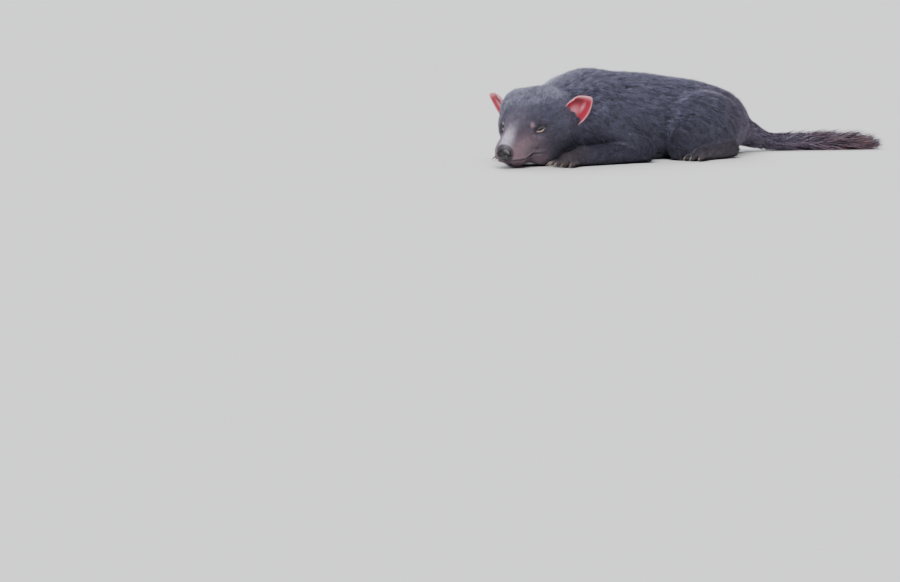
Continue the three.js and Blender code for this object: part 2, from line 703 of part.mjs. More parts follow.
const EAR_ROWS = 7; // base to tip
const EAR_COLUMNS = 10; // front edge to back edge
function earCup(s) {
  const base = new THREE.Vector3(-33, s * 44.5, -20);
  const up = new THREE.Vector3(-0.28, s * 0.55, 0.78).normalize();
  const open = new THREE.Vector3(0.78, s * 0.6, 0.02);
  open.addScaledVector(up, -open.dot(up)).normalize();
  const across = new THREE.Vector3().crossVectors(up, open).multiplyScalar(s);
  const point = (u, v, inner) => {
    const outline = Math.sqrt(Math.sin(Math.PI * (0.14 + 0.8 * Math.pow(u, 0.9))));
    const bend = v * 1.25; // radians round the cup
    const half = EAR_HALF_WIDTH * outline * (1 - 0.12 * inner);
    const depth = (9 - 5 * u) * (1 - Math.cos(bend)) + EAR_THICKNESS * inner * (1 - 0.25 * u);
    return base
      .clone()
      .addScaledVector(up, EAR_HEIGHT * u * (1 - 0.05 * inner * u) - 2)
      .addScaledVector(across, half * (Math.sin(bend) / Math.sin(1.25)) * (1 + 0.08 * v))
      .addScaledVector(open, depth - 4 + 3 * u * u);
  };
  const points = [];
  for (let inner = 0; inner < 2; inner++)
    for (let i = 0; i <= EAR_ROWS; i++)
      for (let j = 0; j <= EAR_COLUMNS; j++)
        points.push(point(i / EAR_ROWS, (2 * j) / EAR_COLUMNS - 1, inner));
  const sheet = (EAR_ROWS + 1) * (EAR_COLUMNS + 1);
  const at = (inner, i, j) => inner * sheet + i * (EAR_COLUMNS + 1) + j;
  const faces = [];
  const quad = (a, b, c, d) => faces.push(a, b, c, a, c, d);
  for (let i = 0; i < EAR_ROWS; i++)
    for (let j = 0; j < EAR_COLUMNS; j++) {
      quad(at(0, i, j), at(0, i, j + 1), at(0, i + 1, j + 1), at(0, i + 1, j));
      faces.push(at(1, i, j), at(1, i + 1, j + 1), at(1, i, j + 1));
      faces.push(at(1, i, j), at(1, i + 1, j), at(1, i + 1, j + 1));
    }
  const last = EAR_COLUMNS;
  for (let i = 0; i < EAR_ROWS; i++) {
    quad(at(0, i, 0), at(0, i + 1, 0), at(1, i + 1, 0), at(1, i, 0));
    quad(at(0, i + 1, last), at(0, i, last), at(1, i, last), at(1, i + 1, last));
  }
  for (let j = 0; j < EAR_COLUMNS; j++) {
    quad(at(0, 0, j + 1), at(0, 0, j), at(1, 0, j), at(1, 0, j + 1));
    quad(at(0, EAR_ROWS, j), at(0, EAR_ROWS, j + 1), at(1, EAR_ROWS, j + 1), at(1, EAR_ROWS, j));
  }
  const geometry = new THREE.BufferGeometry().setFromPoints(points);
  geometry.setIndex(faces);
  geometry.applyMatrix4(headFrame);
  return solid(geometry);
}

const skull = thickened(wholeHead).add(thickened(neckSkin));
for (const [name, s] of Object.entries(sides)) addNode(`ear_${name}`, earCup(-s).subtract(skull), earSkin);

// Legs and paws

for (const [name, s] of Object.entries(sides)) {
  const shoulder = fleshSkin(15, ...box(s, [-112, 66], [-12, 122], [-25, 140]));
  const foreleg = regions[`foreleg_${name}`].own;
  addNode(`foreleg_${name}`, cutFrom(shoulder, `forepaw_${name}`).intersect(foreleg), coat);
  const thigh = fleshSkin(15, ...box(s, [12, 222], [-12, 130], [-25, 125]));
  const hindleg = regions[`hindleg_${name}`].own;
  addNode(`hindleg_${name}`, cutFrom(thigh, `hindfoot_${name}`).intersect(hindleg), coat);
  const hand = fleshSkin(9.6, ...box(s, [-168, -58], [12, 124], [-16, 50]));
  addNode(
    `forepaw_${name}`,
    withToes(hand.intersect(regions[`forepaw_${name}`].own), forepaws[name]),
    footSkin,
  );
  const foot = fleshSkin(10.4, ...box(s, [44, 192], [40, 134], [-16, 50]));
  addNode(
    `hindfoot_${name}`,
    withToes(foot.intersect(regions[`hindfoot_${name}`].own), hindpaws[name]),
    footSkin,
  );
}

// Tail: the smooth root, and the brush that starts where the long hair does

const BRUSH_START = 0.3; // share of the tail's length
const brushPoint = tailLine.getPointAt(BRUSH_START);
const brushPlane = { point: brushPoint.toArray(), normal: tailLine.getTangentAt(BRUSH_START).toArray() };
const tailSkin = fleshSkin(10, [170, -70, -20], [300, 60, 100]);
addNode(
  'tail_root',
  tailSkin
    .subtract(beyond(halfGap(tailPlane, 1), flipped(tailPlane.normal)))
    .subtract(beyond(halfGap(brushPlane, -1), brushPlane.normal)),
  coat,
);
const BRUSH_LINKS = 12;
const CORE_SHARE = 0.72; // of the tail's radius, inside the long hair
const CORE_SINK = 1; // so that the core lies flat on the floor
const alongTail = (t) => THREE.MathUtils.lerp(BRUSH_START - 0.03, 0.98, t);
const underHair = (t) => 1 - (1 - CORE_SHARE) * THREE.MathUtils.smoothstep(t, 0.05, 0.5);
const coreLine = new THREE.CatmullRomCurve3(
  Array.from({ length: BRUSH_LINKS + 1 }, (_, i) => {
    const t = i / BRUSH_LINKS;
    const point = tailLine.getPointAt(alongTail(t));
    return point.setZ(point.z - (1 - underHair(t)) * tailRadius(alongTail(t)) - CORE_SINK);
  }),
);
const coreRadius = (t) => tailRadius(alongTail(t)) * underHair(t) * Math.sqrt(1 - Math.pow(t, 6));
const acrossTail = new THREE.Vector3(0.3, 0.95, 0);
const core = bentRod(coreLine, acrossTail, coreRadius, 1, BRUSH_LINKS, 10);

// Long coarse hair lies in flat locks that leave the core, bend, and overlap towards the tip.
const LOCK_ROWS = 8;
const LOCK_LENGTH = 44;
const LOCK_THICKNESS = 3;
const LOCK_NARROW = 2.5; // width over thickness
const LOWEST_TIP = 2.2; // middle of a lock's tip over the floor
const EVEN_ROW = [-8, 56, 124, 188]; // degrees round the tail from its own side, over the top
const ODD_ROW = [18, 90, 162, 204];
let seed = 11;
const random = () => {
  seed = (seed * 16807) % 2147483647;
  return seed / 2147483647;
};
const tailLength = tailLine.getLength();
function besideTail(s, turn, outward) {
  const at = Math.min(s, 1);
  const way = tailLine.getTangentAt(at);
  const level = new THREE.Vector3(-way.y, way.x, 0).normalize();
  const up = new THREE.Vector3().crossVectors(way, level);
  const out = level.multiplyScalar(Math.cos(turn)).addScaledVector(up, Math.sin(turn));
  const point = tailLine.getPointAt(at).addScaledVector(way, (s - at) * tailLength);
  point.addScaledVector(out, outward);
  point.z = Math.max(point.z, LOWEST_TIP);
  return { point, way, out };
}
function lock(s, turn, length) {
  const run = length / tailLength;
  const radius = tailRadius(s);
  const start = besideTail(s, turn, radius * 0.3);
  const crest = besideTail(s + run * 0.45, turn, radius + 3 + 2 * random());
  const tipTurn = turn + 0.3 * (random() - 0.5);
  const end = besideTail(s + run, tipTurn, tailRadius(Math.min(1, s + run)) + 4 * random());
  const across = new THREE.Vector3().crossVectors(start.way, start.out).normalize();
  const line = new THREE.QuadraticBezierCurve3(start.point, crest.point, end.point);
  return bentRod(line, across, (t) => (LOCK_THICKNESS / 2) * (1 - 0.5 * t), LOCK_NARROW, 3, 4);
}
let brush = core;
for (let row = 0; row < LOCK_ROWS; row++) {
  const s = THREE.MathUtils.lerp(BRUSH_START + 0.04, 0.95, row / (LOCK_ROWS - 1));
  const length = LOCK_LENGTH * (1 - 0.35 * (row / (LOCK_ROWS - 1)) ** 2);
  for (const degrees of row % 2 ? ODD_ROW : EVEN_ROW) {
    const turn = radians(degrees + 12 * (random() - 0.5));
    brush = brush.add(lock(s + 0.02 * (random() - 0.5), turn, length * (0.85 + 0.3 * random())));
  }
}
addNode('tail_brush', brush.subtract(beyond(halfGap(brushPlane, 1), flipped(brushPlane.normal))), coat);

// The origin is under the middle of the animal, on the floor.
const extent = new THREE.Box3().setFromObject(group);
group.position.set(-(extent.min.x + extent.max.x) / 2, -(extent.min.y + extent.max.y) / 2, -extent.min.z);

export default group;
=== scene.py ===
import math

import bmesh
import bpy
import numpy as np
import openvdb as vdb
from mathutils import Matrix, Vector


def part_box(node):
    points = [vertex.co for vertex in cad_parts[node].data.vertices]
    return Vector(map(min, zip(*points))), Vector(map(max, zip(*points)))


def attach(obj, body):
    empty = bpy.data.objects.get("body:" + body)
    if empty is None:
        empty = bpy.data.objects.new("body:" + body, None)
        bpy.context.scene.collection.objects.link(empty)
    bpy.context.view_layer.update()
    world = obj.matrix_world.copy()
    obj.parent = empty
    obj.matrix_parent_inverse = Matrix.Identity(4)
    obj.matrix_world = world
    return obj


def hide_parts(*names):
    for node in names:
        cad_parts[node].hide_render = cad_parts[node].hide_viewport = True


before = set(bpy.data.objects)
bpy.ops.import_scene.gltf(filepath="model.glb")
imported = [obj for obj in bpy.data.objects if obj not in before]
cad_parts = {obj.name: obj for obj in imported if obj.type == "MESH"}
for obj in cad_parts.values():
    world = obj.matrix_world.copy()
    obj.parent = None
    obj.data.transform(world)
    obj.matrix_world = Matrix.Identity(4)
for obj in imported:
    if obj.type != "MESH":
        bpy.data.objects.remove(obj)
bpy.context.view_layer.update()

# The room is a plain pale floor under a wide soft light, as on an overcast day, and a weaker one from behind.
# A long lens stands low at the animal's left shoulder, so that the animal has the size, the place and the
# flat perspective that it has in the photograph.
CAMERA_AZIMUTH = math.radians(-35)
CAMERA_ELEVATION = math.radians(5)
LENS = 600
SENSOR = 36
FARTHEST_SEEN = 60  # metres
PHOTO_WIDTH = 900  # pixels
PIXELS_PER_METRE = 770  # at the animal
NOSE_RIGHT_OF_MIDDLE = 0.071  # metres from the middle of the picture to the nose
NOSE_ABOVE_MIDDLE = 0.179
HEAD_CENTRE = (-142, -30, 64)  # millimetres, in the frame that the animal is shaped in
HEAD_YAW = math.radians(28)  # the face turns to the animal's left
HEAD_PITCH = math.radians(25)  # and the nose points down
EYE_PLACE = (13, 22.5, -8)  # in the head's frame: x along the muzzle, y to the head's left, z up
NOSE_PLACE = (75, 0, -12.5)

head_frame = (
    Matrix.Translation(HEAD_CENTRE)
    @ Matrix.Rotation(math.pi + HEAD_YAW, 4, "Z")
    @ Matrix.Rotation(HEAD_PITCH, 4, "Y")
)
eye_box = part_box("eye_left")
shift = (eye_box[0] + eye_box[1]) / 2 - (head_frame @ Vector(EYE_PLACE)) / 1000


def placed(points):
    """From the millimetres that the animal is shaped in to its place in the scene, in metres."""
    return np.array(points) / 1000 + np.array(shift)


def facing(at, target):
    return (Vector(target) - Vector(at)).to_track_quat("-Z", "Y").to_euler()


def added(name, data):
    made = bpy.data.objects.new(name, data)
    bpy.context.collection.objects.link(made)
    return made


right = Vector((math.cos(CAMERA_AZIMUTH), math.sin(CAMERA_AZIMUTH), 0))
back = Vector((math.sin(CAMERA_AZIMUTH), -math.cos(CAMERA_AZIMUTH), 0)) * math.cos(CAMERA_ELEVATION)
back.z = math.sin(CAMERA_ELEVATION)
nose_point = Vector(placed(head_frame @ Vector(NOSE_PLACE)))
aim = nose_point - NOSE_RIGHT_OF_MIDDLE * right - NOSE_ABOVE_MIDDLE * back.cross(right)
camera = added("camera", bpy.data.cameras.new("camera"))
camera.data.lens = LENS
camera.data.sensor_width = SENSOR
camera.data.clip_end = FARTHEST_SEEN
camera.location = aim + back * (LENS / SENSOR * PHOTO_WIDTH / PIXELS_PER_METRE)
camera.rotation_euler = facing(camera.location, aim)
bpy.context.scene.camera = camera


def new_material(name, finish):
    """A material, its node tree and its shader, whose inputs have the values in finish."""
    material = bpy.data.materials.new(name)
    material.use_nodes = True
    shader = material.node_tree.nodes["Principled BSDF"]
    for label, value in finish.items():
        shader.inputs[label].default_value = value
    return material, material.node_tree, shader


def new_object(name, points, faces, material):
    mesh = bpy.data.meshes.new(name)
    mesh.from_pydata(points, [], faces)
    mesh.materials.append(material)
    mesh.polygons.foreach_set("use_smooth", [True] * len(mesh.polygons))
    return added(name, mesh)


FLOOR_HALF = 14
paper, _, _ = new_material("pale floor", {"Base Color": (0.66, 0.657, 0.65, 1), "Roughness": 0.9})
floor_corners = [(x * FLOOR_HALF, y * FLOOR_HALF, 0) for x, y in ((-1, -1), (1, -1), (1, 1), (-1, 1))]
floor = new_object("floor", floor_corners, [(0, 1, 2, 3)], paper)
for name, spot, spread, strength, colour in (
    ("sky", (-0.5, -0.6, 1.0), 45, 4.7, (1, 1, 1)),
    ("sky behind", (0.3, 0.7, 0.75), 45, 2.8, (0.90, 0.92, 1)),
):
    lamp = bpy.data.lights.new(name, "SUN")
    lamp.angle = math.radians(spread)
    lamp.energy = strength
    lamp.color = colour
    added(name, lamp).rotation_euler = facing(spot, (0, 0, 0))
world = bpy.data.worlds.new("pale air")
world.use_nodes = True
air = world.node_tree.nodes["Background"]
air.inputs["Color"].default_value = (0.86, 0.88, 0.94, 1)
air.inputs["Strength"].default_value = 0.28
bpy.context.scene.world = world

# The skin is one thin dark sheet from nose to tail, bare only on the lids, lips and soles. It is drawn over
# the blended masses of flesh and bone, in millimetres, under the solids' surface by the depth of the coat.
# Each mass is a function that gives the distance of points from it, less than 0 inside it.
BACK_HEIGHT = 121
HIP_HEIGHT = 104
CHEST_HALF_WIDTH = 66
HIP_X = 130
SHOULDER_X = -22
RUMP_X = 190
FAR = 60.0  # stands for the distance of a mass too far off to matter


def ellipsoid(p, centre, radii):
    q = (p - np.float32(centre)) / np.float32(radii)
    reach = np.sqrt((q * q).sum(1))
    q /= np.float32(radii)
    slope = np.sqrt((q * q).sum(1))
    return np.where(slope < 1e-6, -min(radii), reach * (reach - 1) / np.maximum(slope, 1e-6))


def taper(p, start, end, start_radius, end_radius):
    start, end = np.float32(start), np.float32(end)
    way = end - start
    t = np.clip((p - start) @ way / (way @ way), 0, 1)
    apart = np.sqrt(((p - start - t[:, None] * way) ** 2).sum(1))
    return apart - start_radius - t * (end_radius - start_radius)


def joined(softness, *distances):
    made = distances[0]
    for other in distances[1:]:
        meet = np.maximum(softness - np.abs(made - other), 0) / softness
        made = np.minimum(made, other) - meet * meet * softness / 4
    return made


def cut(softness, distance, hollow):
    return -joined(softness, -distance, hollow)


def near(p, centre, reach, distance):
    """A mass's distance for the points that it can reach."""
    made = np.full(len(p), FAR, np.float32)
    close = (np.abs(p - np.float32(centre)) < np.float32(reach)).all(axis=1)
    made[close] = distance(p[close])
    return made


def smooth_step(x, start, end):
    t = np.clip((x - start) / (end - start), 0, 1)
    return t * t * (3 - 2 * t)


def moved(matrix, points):
    m = np.array(matrix)
    return np.asarray(points) @ m[:3, :3].T + m[:3, 3]


def both_sides(h):
    """Points of the head's frame, with those on its right brought over to its left."""
    return np.stack([h[:, 0], np.abs(h[:, 1]), h[:, 2]], 1)


def head_mass(h):
    m = both_sides(h)
    bone = joined(
        10,
        ellipsoid(m, (-14, 0, -6), (48, 38, 34)),
        ellipsoid(m, (-22, 24, 2), (30, 20, 22)),
        ellipsoid(m, (-20, 28, -24), (36, 20, 30)),
        ellipsoid(m, (-2, 20, -42), (38, 19, 22)),
        taper(m, (8, 0, -16), (58, 0, -17), 27, 15.5),
        taper(m, (10, 0, 4), (69, 0, -8.5), 18, 8.5),
        ellipsoid(m, (55, 9.5, -20), (18, 12.5, 13)),
        taper(m, (0, 0, -38), (53, 0, -33), 24, 11.5),
        taper(m, (2, 15, 13), (17, 23, 2), 10, 5.5),
        taper(m, (23, 20, -20), (-10, 36, -18), 8, 11),
    )
    sockets = cut(5, bone, ellipsoid(m, (25, 28, -7), (9, 7, 6.5)))
    return joined(4, sockets, ellipsoid(m, EYE_PLACE, (8.6, 8.6, 7.6)))


def catmull(points, count):
    """A centripetal curve through the points, as count points evenly spread along it."""
    p = np.array(points, float)
    ends = [2 * p[0] - p[1], *p, 2 * p[-1] - p[-2]]
    made = []
    for a, b, c, d in zip(ends, ends[1:], ends[2:], ends[3:]):
        t = np.cumsum([0] + [max(np.linalg.norm(v - u) ** 0.5, 1e-4) for u, v in ((a, b), (b, c), (c, d))])
        for s in np.linspace(t[1], t[2], 24, endpoint=False):
            ab = ((t[1] - s) * a + (s - t[0]) * b) / (t[1] - t[0])
            bc = ((t[2] - s) * b + (s - t[1]) * c) / (t[2] - t[1])
            cd = ((t[3] - s) * c + (s - t[2]) * d) / (t[3] - t[2])
            abc = ((t[2] - s) * ab + (s - t[0]) * bc) / (t[2] - t[0])
            bcd = ((t[3] - s) * bc + (s - t[1]) * cd) / (t[3] - t[1])
            made.append(((t[2] - s) * abc + (s - t[1]) * bcd) / (t[2] - t[1]))
    made = np.array(made + [p[-1]])
    run = np.r_[0, np.cumsum(np.linalg.norm(np.diff(made, axis=0), axis=1))]
    wanted = np.linspace(0, run[-1], count)
    return np.stack([np.interp(wanted, run, made[:, axis]) for axis in range(3)], 1)


TAIL_STOPS = [(196, 0, 42), (228, -1, 27), (258, -6, 15), (300, -17, 9.5), (350, -36, 8), (394, -60, 7)]
TAIL_LINKS = 24
tail_line = catmull(TAIL_STOPS, TAIL_LINKS + 1)
along_tail = np.linspace(0, 1, TAIL_LINKS + 1)
tail_radius = 25 - 13 * smooth_step(along_tail, 0, 0.4) - 6 * along_tail

# A paw has a wrist and a ball, and toes in a fan (in degrees), each with its length, radius and claw.
FORE_TOES = dict(wrist_radius=12, ball_radius=15, toes=5, length=17, radius=4.6, fan=24, claw=13)
HIND_TOES = dict(wrist_radius=11.5, ball_radius=14, toes=4, length=16, radius=4.9, fan=13, claw=10)
paws = {
    "forepaw_left": dict(wrist=(-84, -76, 14), ball=(-108, -79, 9), **FORE_TOES),
    "forepaw_right": dict(wrist=(-74, 58, 14), ball=(-101, 52, 9), **FORE_TOES),
    "hindfoot_left": dict(wrist=(150, -78, 12), ball=(92, -90, 9), **HIND_TOES),
    "hindfoot_right": dict(wrist=(150, 78, 12), ball=(92, 90, 9), **HIND_TOES),
}
for paw in paws.values():
    ball = Vector(paw["ball"])
    forward = ball - Vector(paw["wrist"])
    forward.z = 0
    forward.normalize()
    across = Vector((-forward.y, forward.x, 0))
    paw["forward"] = forward
    paw["digits"] = []
    for i in range(paw["toes"]):
        spread = 2 * i / (paw["toes"] - 1) - 1
        turn = math.radians(paw["fan"] * spread)
        way = forward * math.cos(turn) + across * math.sin(turn)
        root = ball + across * (spread * paw["ball_radius"] * 0.78) - forward * (3 * spread * spread)
        root.z = paw["radius"] + 2.2
        tip = root + way * (paw["length"] * (1 - 0.16 * spread * spread))
        tip.z = paw["radius"] - 0.4
        paw["digits"].append((root, tip, way))


def bezier(start, crest, end, t):
    t = np.asarray(t)[:, None]
    return (1 - t) ** 2 * np.array(start) + 2 * t * (1 - t) * np.array(crest) + t * t * np.array(end)


TOE_JOINTS = 5


def paw_mass(p, paw):
    ball, radius = paw["ball"], paw["ball_radius"]
    made = joined(
        5,
        taper(p, paw["wrist"], (ball[0], ball[1], radius * 0.62), paw["wrist_radius"], radius * 0.66),
        ellipsoid(p, (ball[0], ball[1], radius * 0.55), (radius * 0.95, radius, radius * 0.6)),
    )
    for root, tip, way in paw["digits"]:
        start, end = root - way * (paw["radius"] * 0.6), tip + way * (paw["radius"] * 0.5)
        crest = (start + end) / 2
        crest.z = paw["radius"] * 2.1
        bends = np.linspace(0, 1, TOE_JOINTS)
        line = bezier(start, crest, end, bends)
        girth = paw["radius"] * 0.9 * np.array([1, 0.96, 1.02, 0.9, 0.78])
        toe = [taper(p, line[i], line[i + 1], girth[i], girth[i + 1]) for i in range(TOE_JOINTS - 1)]
        made = joined(1.2, made, np.minimum.reduce(toe))
    return made


# Each mass has its distance, and the way that its hair lies.
SIDES = {"left": -1, "right": 1}
elbows = {"left": (12, -70, 17), "right": (12, 70, 17)}
head_inverse = head_frame.inverted()


def masses(p):
    d = {
        "trunk": joined(
            30,
            ellipsoid(p, (SHOULDER_X, 0, BACK_HEIGHT - 70), (76, CHEST_HALF_WIDTH, 64)),
            ellipsoid(p, (46, 0, 52), (90, CHEST_HALF_WIDTH - 1, 61)),
            ellipsoid(p, (HIP_X, 0, HIP_HEIGHT - 61), (76, 62, 57)),
            ellipsoid(p, (RUMP_X, 0, 40), (33, 40, 37)),
        ),
        "neck": near(p, (-80, -10, 60), (130, 110, 110), lambda q: joined(
            20,
            taper(q, (-30, 0, 66), (-118, -22, 59), 50, 38),
            taper(q, (-40, 2, 44), (-112, -16, 36), 42, 32),
        )),
        "head": near(p, HEAD_CENTRE, (140, 110, 110), lambda q: head_mass(moved(head_inverse, q))),
        "tail": near(p, (290, -30, 25), (160, 90, 90), lambda q: joined(4, *(
            taper(q, tail_line[i], tail_line[i + 1], tail_radius[i], tail_radius[i + 1])
            for i in range(TAIL_LINKS)
        ))),
    }
    for name, s in SIDES.items():
        elbow = elbows[name]
        wrist = paws[f"forepaw_{name}"]["wrist"]
        d[f"shoulder_{name}"] = near(p, (-20, s * 50, 55), (110, 90, 110), lambda q: joined(
            14,
            ellipsoid(q, (-34, s * 44, 62), (42, 25, 45)),
            taper(q, (-40, s * 50, 56), elbow, 27, 18),
        ))
        d[f"forearm_{name}"] = near(p, (-36, s * 70, 15), (110, 60, 70), lambda q: taper(
            q, elbow, (*wrist[:2], 12), 18, 12.5
        ))
        d[f"thigh_{name}"] = near(p, (116, s * 58, 43), (115, 90, 100), lambda q: joined(
            12,
            ellipsoid(q, (126, s * 54, 43), (58, 30, 44)),
            taper(q, (100, s * 64, 40), (84, s * 70, 33), 30, 24),
        ))
        d[f"shank_{name}"] = near(p, (116, s * 72, 16), (100, 60, 70), lambda q: taper(
            q, (80, s * 70, 19), (152, s * 74, 13), 20, 13
        ))
    for name, paw in paws.items():
        middle = (Vector(paw["wrist"]) + Vector(paw["ball"])) / 2
        d[name] = near(p, middle, (90, 60, 60), lambda q: paw_mass(q, paw))
    return d


def flesh(d):
    body = joined(
        14,
        joined(22, d["trunk"], d["neck"]),
        d["head"],
        *(d[f"{limb}_{name}"] for limb in ("shoulder", "thigh") for name in SIDES),
        d["tail"],
    )
    lower_limbs = [d[f"{limb}_{name}"] for limb in ("forearm", "shank") for name in SIDES]
    return joined(5, body, *lower_limbs, *map(d.get, paws))


SAY_REACH = 5


def shares(d):
    """How far each mass has a say at each point, from 0 to 1, adding up to 1."""
    apart = np.stack(list(d.values()))
    weight = np.exp(-(apart - apart.min(0)) / SAY_REACH)
    weight /= weight.sum(0)
    return dict(zip(d, weight))


def share_of(weight, *starts):
    return sum(w for name, w in weight.items() if name.startswith(starts))


PAW_DEPTH = 0.4
LIMB_DEPTH = 1.8
BODY_DEPTH = 3.4


def coat_depth(p, weight):
    """How far the skin lies under the tips of the coat, in millimetres."""
    on_head = 0.5 + 2.3 * smooth_step(-moved(head_inverse, p)[:, 0], -46, 6)
    on_tail = BODY_DEPTH - 0.6 * smooth_step(p[:, 0], 230, 300)
    paw = share_of(weight, "forepaw", "hindfoot")
    limb = share_of(weight, "forearm", "shank")
    rest = 1 - paw - limb - weight["head"] - weight["tail"]
    depth = PAW_DEPTH * paw + LIMB_DEPTH * limb + on_head * weight["head"] + on_tail * weight["tail"]
    return depth + BODY_DEPTH * rest


# The mouth runs round the muzzle from corner to corner, and its lips roll over it.
MOUTH_SPREAD = math.radians(100)
MOUTH_SLOPE = 0.3
MOUTH_MIDDLE_X = 32
MOUTH_HEIGHT = -27


def onto_head(start, ways):
    """Where rays from a point inside the head leave it, found by short steps."""
    ways = ways / np.linalg.norm(ways, axis=1, keepdims=True)
    points = np.repeat([start], len(ways), 0).astype(float)
    for _ in range(60):
        points -= ways * head_mass(points)[:, None] * 0.8
    return points


def mouth_line(drop, outward):
    """A line round the muzzle, the given way above the mouth and out from the flesh."""
    turn = np.linspace(-1, 1, 41) * MOUTH_SPREAD
    ways = np.stack([np.cos(turn), np.sin(turn), MOUTH_SLOPE * np.cos(turn)], 1)
    middle = (MOUTH_MIDDLE_X, 0, MOUTH_HEIGHT + MOUTH_SLOPE * (MOUTH_MIDDLE_X - 62) + drop)
    return onto_head(middle, ways) + ways * outward


def cord(p, line, radius, ends=None):
    """The distance to a rod along a line, thinner at its ends where ends says so."""
    thick = radius * (np.ones(len(line)) if ends is None else 1 - ends * np.linspace(-1, 1, len(line)) ** 4)
    return np.minimum.reduce([
        taper(p, line[i], line[i + 1], thick[i], thick[i + 1]) for i in range(len(line) - 1)
    ])


upper_lip = mouth_line(2.6, -1.3)
lower_lip = mouth_line(-2.2, -1.7)
mouth_groove = mouth_line(0.1, 0.3)
philtrum = onto_head((50, 0, -19), np.array([[1, 0, slope] for slope in (0.28, 0.12, 0, -0.12, -0.25)]))

# The lids nearly meet: a pointed slit crosses each eyeball, with a rolled rim above and below it.
EYE_RADIUS = 6.6
SLIT_HALF = 6.5
SLIT_UP = 1.15
SLIT_DOWN = 1.6


def eye_frame(s):
    """The frame of the left eye, or with -1 the right: x out of the pupil, y to the head's left."""
    return (
        Matrix.Translation((EYE_PLACE[0], s * EYE_PLACE[1], EYE_PLACE[2]))
        @ Matrix.Rotation(s * math.radians(52), 4, "Z")
        @ Matrix.Rotation(s * math.radians(12), 4, "X")
    )


def lid_edges(y):
    """The heights of the upper and lower lid's edge across the eye."""
    t = np.clip((y + SLIT_HALF) / (2 * SLIT_HALF), 0, 1)
    tilt = 0.6 - 1.1 * t
    open_share = 4 * t * (1 - t)
    return tilt + SLIT_UP * open_share, tilt - SLIT_DOWN * open_share


def lid_rim(which, reach, lift):
    y = np.linspace(-SLIT_HALF - 0.6, SLIT_HALF + 0.6, 15)
    z = lid_edges(y)[which] + lift
    x = np.sqrt(np.maximum(reach**2 - y**2 - z**2, 9))
    return np.stack([x, y, z], 1)


upper_rim = lid_rim(0, EYE_RADIUS + 1.1, 0.6)
lower_rim = lid_rim(1, EYE_RADIUS + 0.9, -0.55)
upper_fold = lid_rim(0, EYE_RADIUS + 2.1, 2.7)
lower_fold = lid_rim(1, EYE_RADIUS + 1.9, -3.2)


def face(h, distance):
    """Adds the collar of the nose, lips, lids and folds to the head's distance, in the head's frame."""
    m = both_sides(h)
    mouth = (h[:, 0] > 15) & (h[:, 2] < -8)
    made = distance.copy()
    end = h[:, 0] > 50
    made[end] = joined(5, made[end], ellipsoid(m[end], (69, 0, -13.2), (8, 11.6, 9)))
    q = h[mouth]
    lips = joined(2.2, made[mouth], cord(q, upper_lip, 2.1, 0.8), cord(q, lower_lip, 1.8, 0.8))
    lips = cut(0.9, lips, cord(q, mouth_groove, 0.85, 0.7))
    made[mouth] = cut(0.9, lips, cord(q, philtrum, 0.8))
    eyes = np.linalg.norm(m - np.float32(EYE_PLACE), axis=1) < 19
    q = moved(eye_frame(1).inverted(), m[eyes])
    lids = joined(1.6, made[eyes], cord(q, upper_rim, 0.9, 0.6), cord(q, lower_rim, 0.75, 0.6))
    lids = cut(2.2, lids, cord(q, upper_fold, 0.2, 0.9))
    lids = cut(2.2, lids, cord(q, lower_fold, 0.1, 0.9))
    top, bottom = lid_edges(q[:, 1])
    slit = np.maximum.reduce([q[:, 2] - top, bottom - q[:, 2], np.abs(q[:, 1]) - SLIT_HALF, 4 - q[:, 0]])
    made[eyes] = cut(0.5, lids, slit)
    return made


FLOOR_CLEARANCE = 0.5


def skin_distance(p):
    """The distance from the skin, with its underside pressed flat just over the floor."""
    p = p.astype(np.float32)
    d = masses(p)
    made = flesh(d) + coat_depth(p, shares(d))
    ahead = d["head"] < FAR
    made[ahead] = face(moved(head_inverse, p[ahead]), made[ahead])
    return -joined(2, -made, -(FLOOR_CLEARANCE - p[:, 2]))


# The grid's lines are close over the head and wider over the body. Only its blocks near the skin are worked
# out.
BLOCK = 6
NEAR_SKIN = 13
NECK_LINE = -62
BACK_LINE = 76
lines = [
    np.r_[np.arange(-214, NECK_LINE, 1.3), np.arange(NECK_LINE, 404, 2.9)],
    np.arange(-116, 117, 1.7),
    np.r_[np.arange(-4, BACK_LINE, 1.6), np.arange(BACK_LINE, 126, 2)],
]
lines = [line[: len(line) // BLOCK * BLOCK] for line in lines]
centres = [line.reshape(-1, BLOCK).mean(1) for line in lines]
blocks = np.stack(np.meshgrid(*centres, indexing="ij"), -1).reshape(-1, 3)
coarse = skin_distance(blocks).reshape([len(line) // BLOCK for line in lines])
values = np.repeat(np.repeat(np.repeat(coarse, BLOCK, 0), BLOCK, 1), BLOCK, 2)
wanted = np.argwhere(np.abs(values) < NEAR_SKIN)
points = np.stack([lines[axis][wanted[:, axis]] for axis in range(3)], 1)
values[tuple(wanted.T)] = skin_distance(points)


BAND = 3.0


def shell(values, lines):
    """The sheet where a grid of distances is 0, as corners and quads that face outwards."""
    grid = vdb.FloatGrid(BAND)
    grid.copyFromArray(np.clip(values, -BAND, BAND).astype(np.float32))
    grid.gridClass = vdb.GridClass.LEVEL_SET
    corners, _, quads = grid.convertToPolygons(isovalue=0.0, adaptivity=0.0)
    spots = [np.interp(corners[:, axis], np.arange(len(line)), line) for axis, line in enumerate(lines)]
    return np.stack(spots, 1), quads[:, ::-1]


corners, quads = shell(values, lines)


def slope_at(distance, p, reach=0.3):
    made = np.empty_like(p)
    for axis in range(3):
        step = np.zeros(3)
        step[axis] = reach
        made[:, axis] = (distance(p + step) - distance(p - step)) / (2 * reach)
    return made


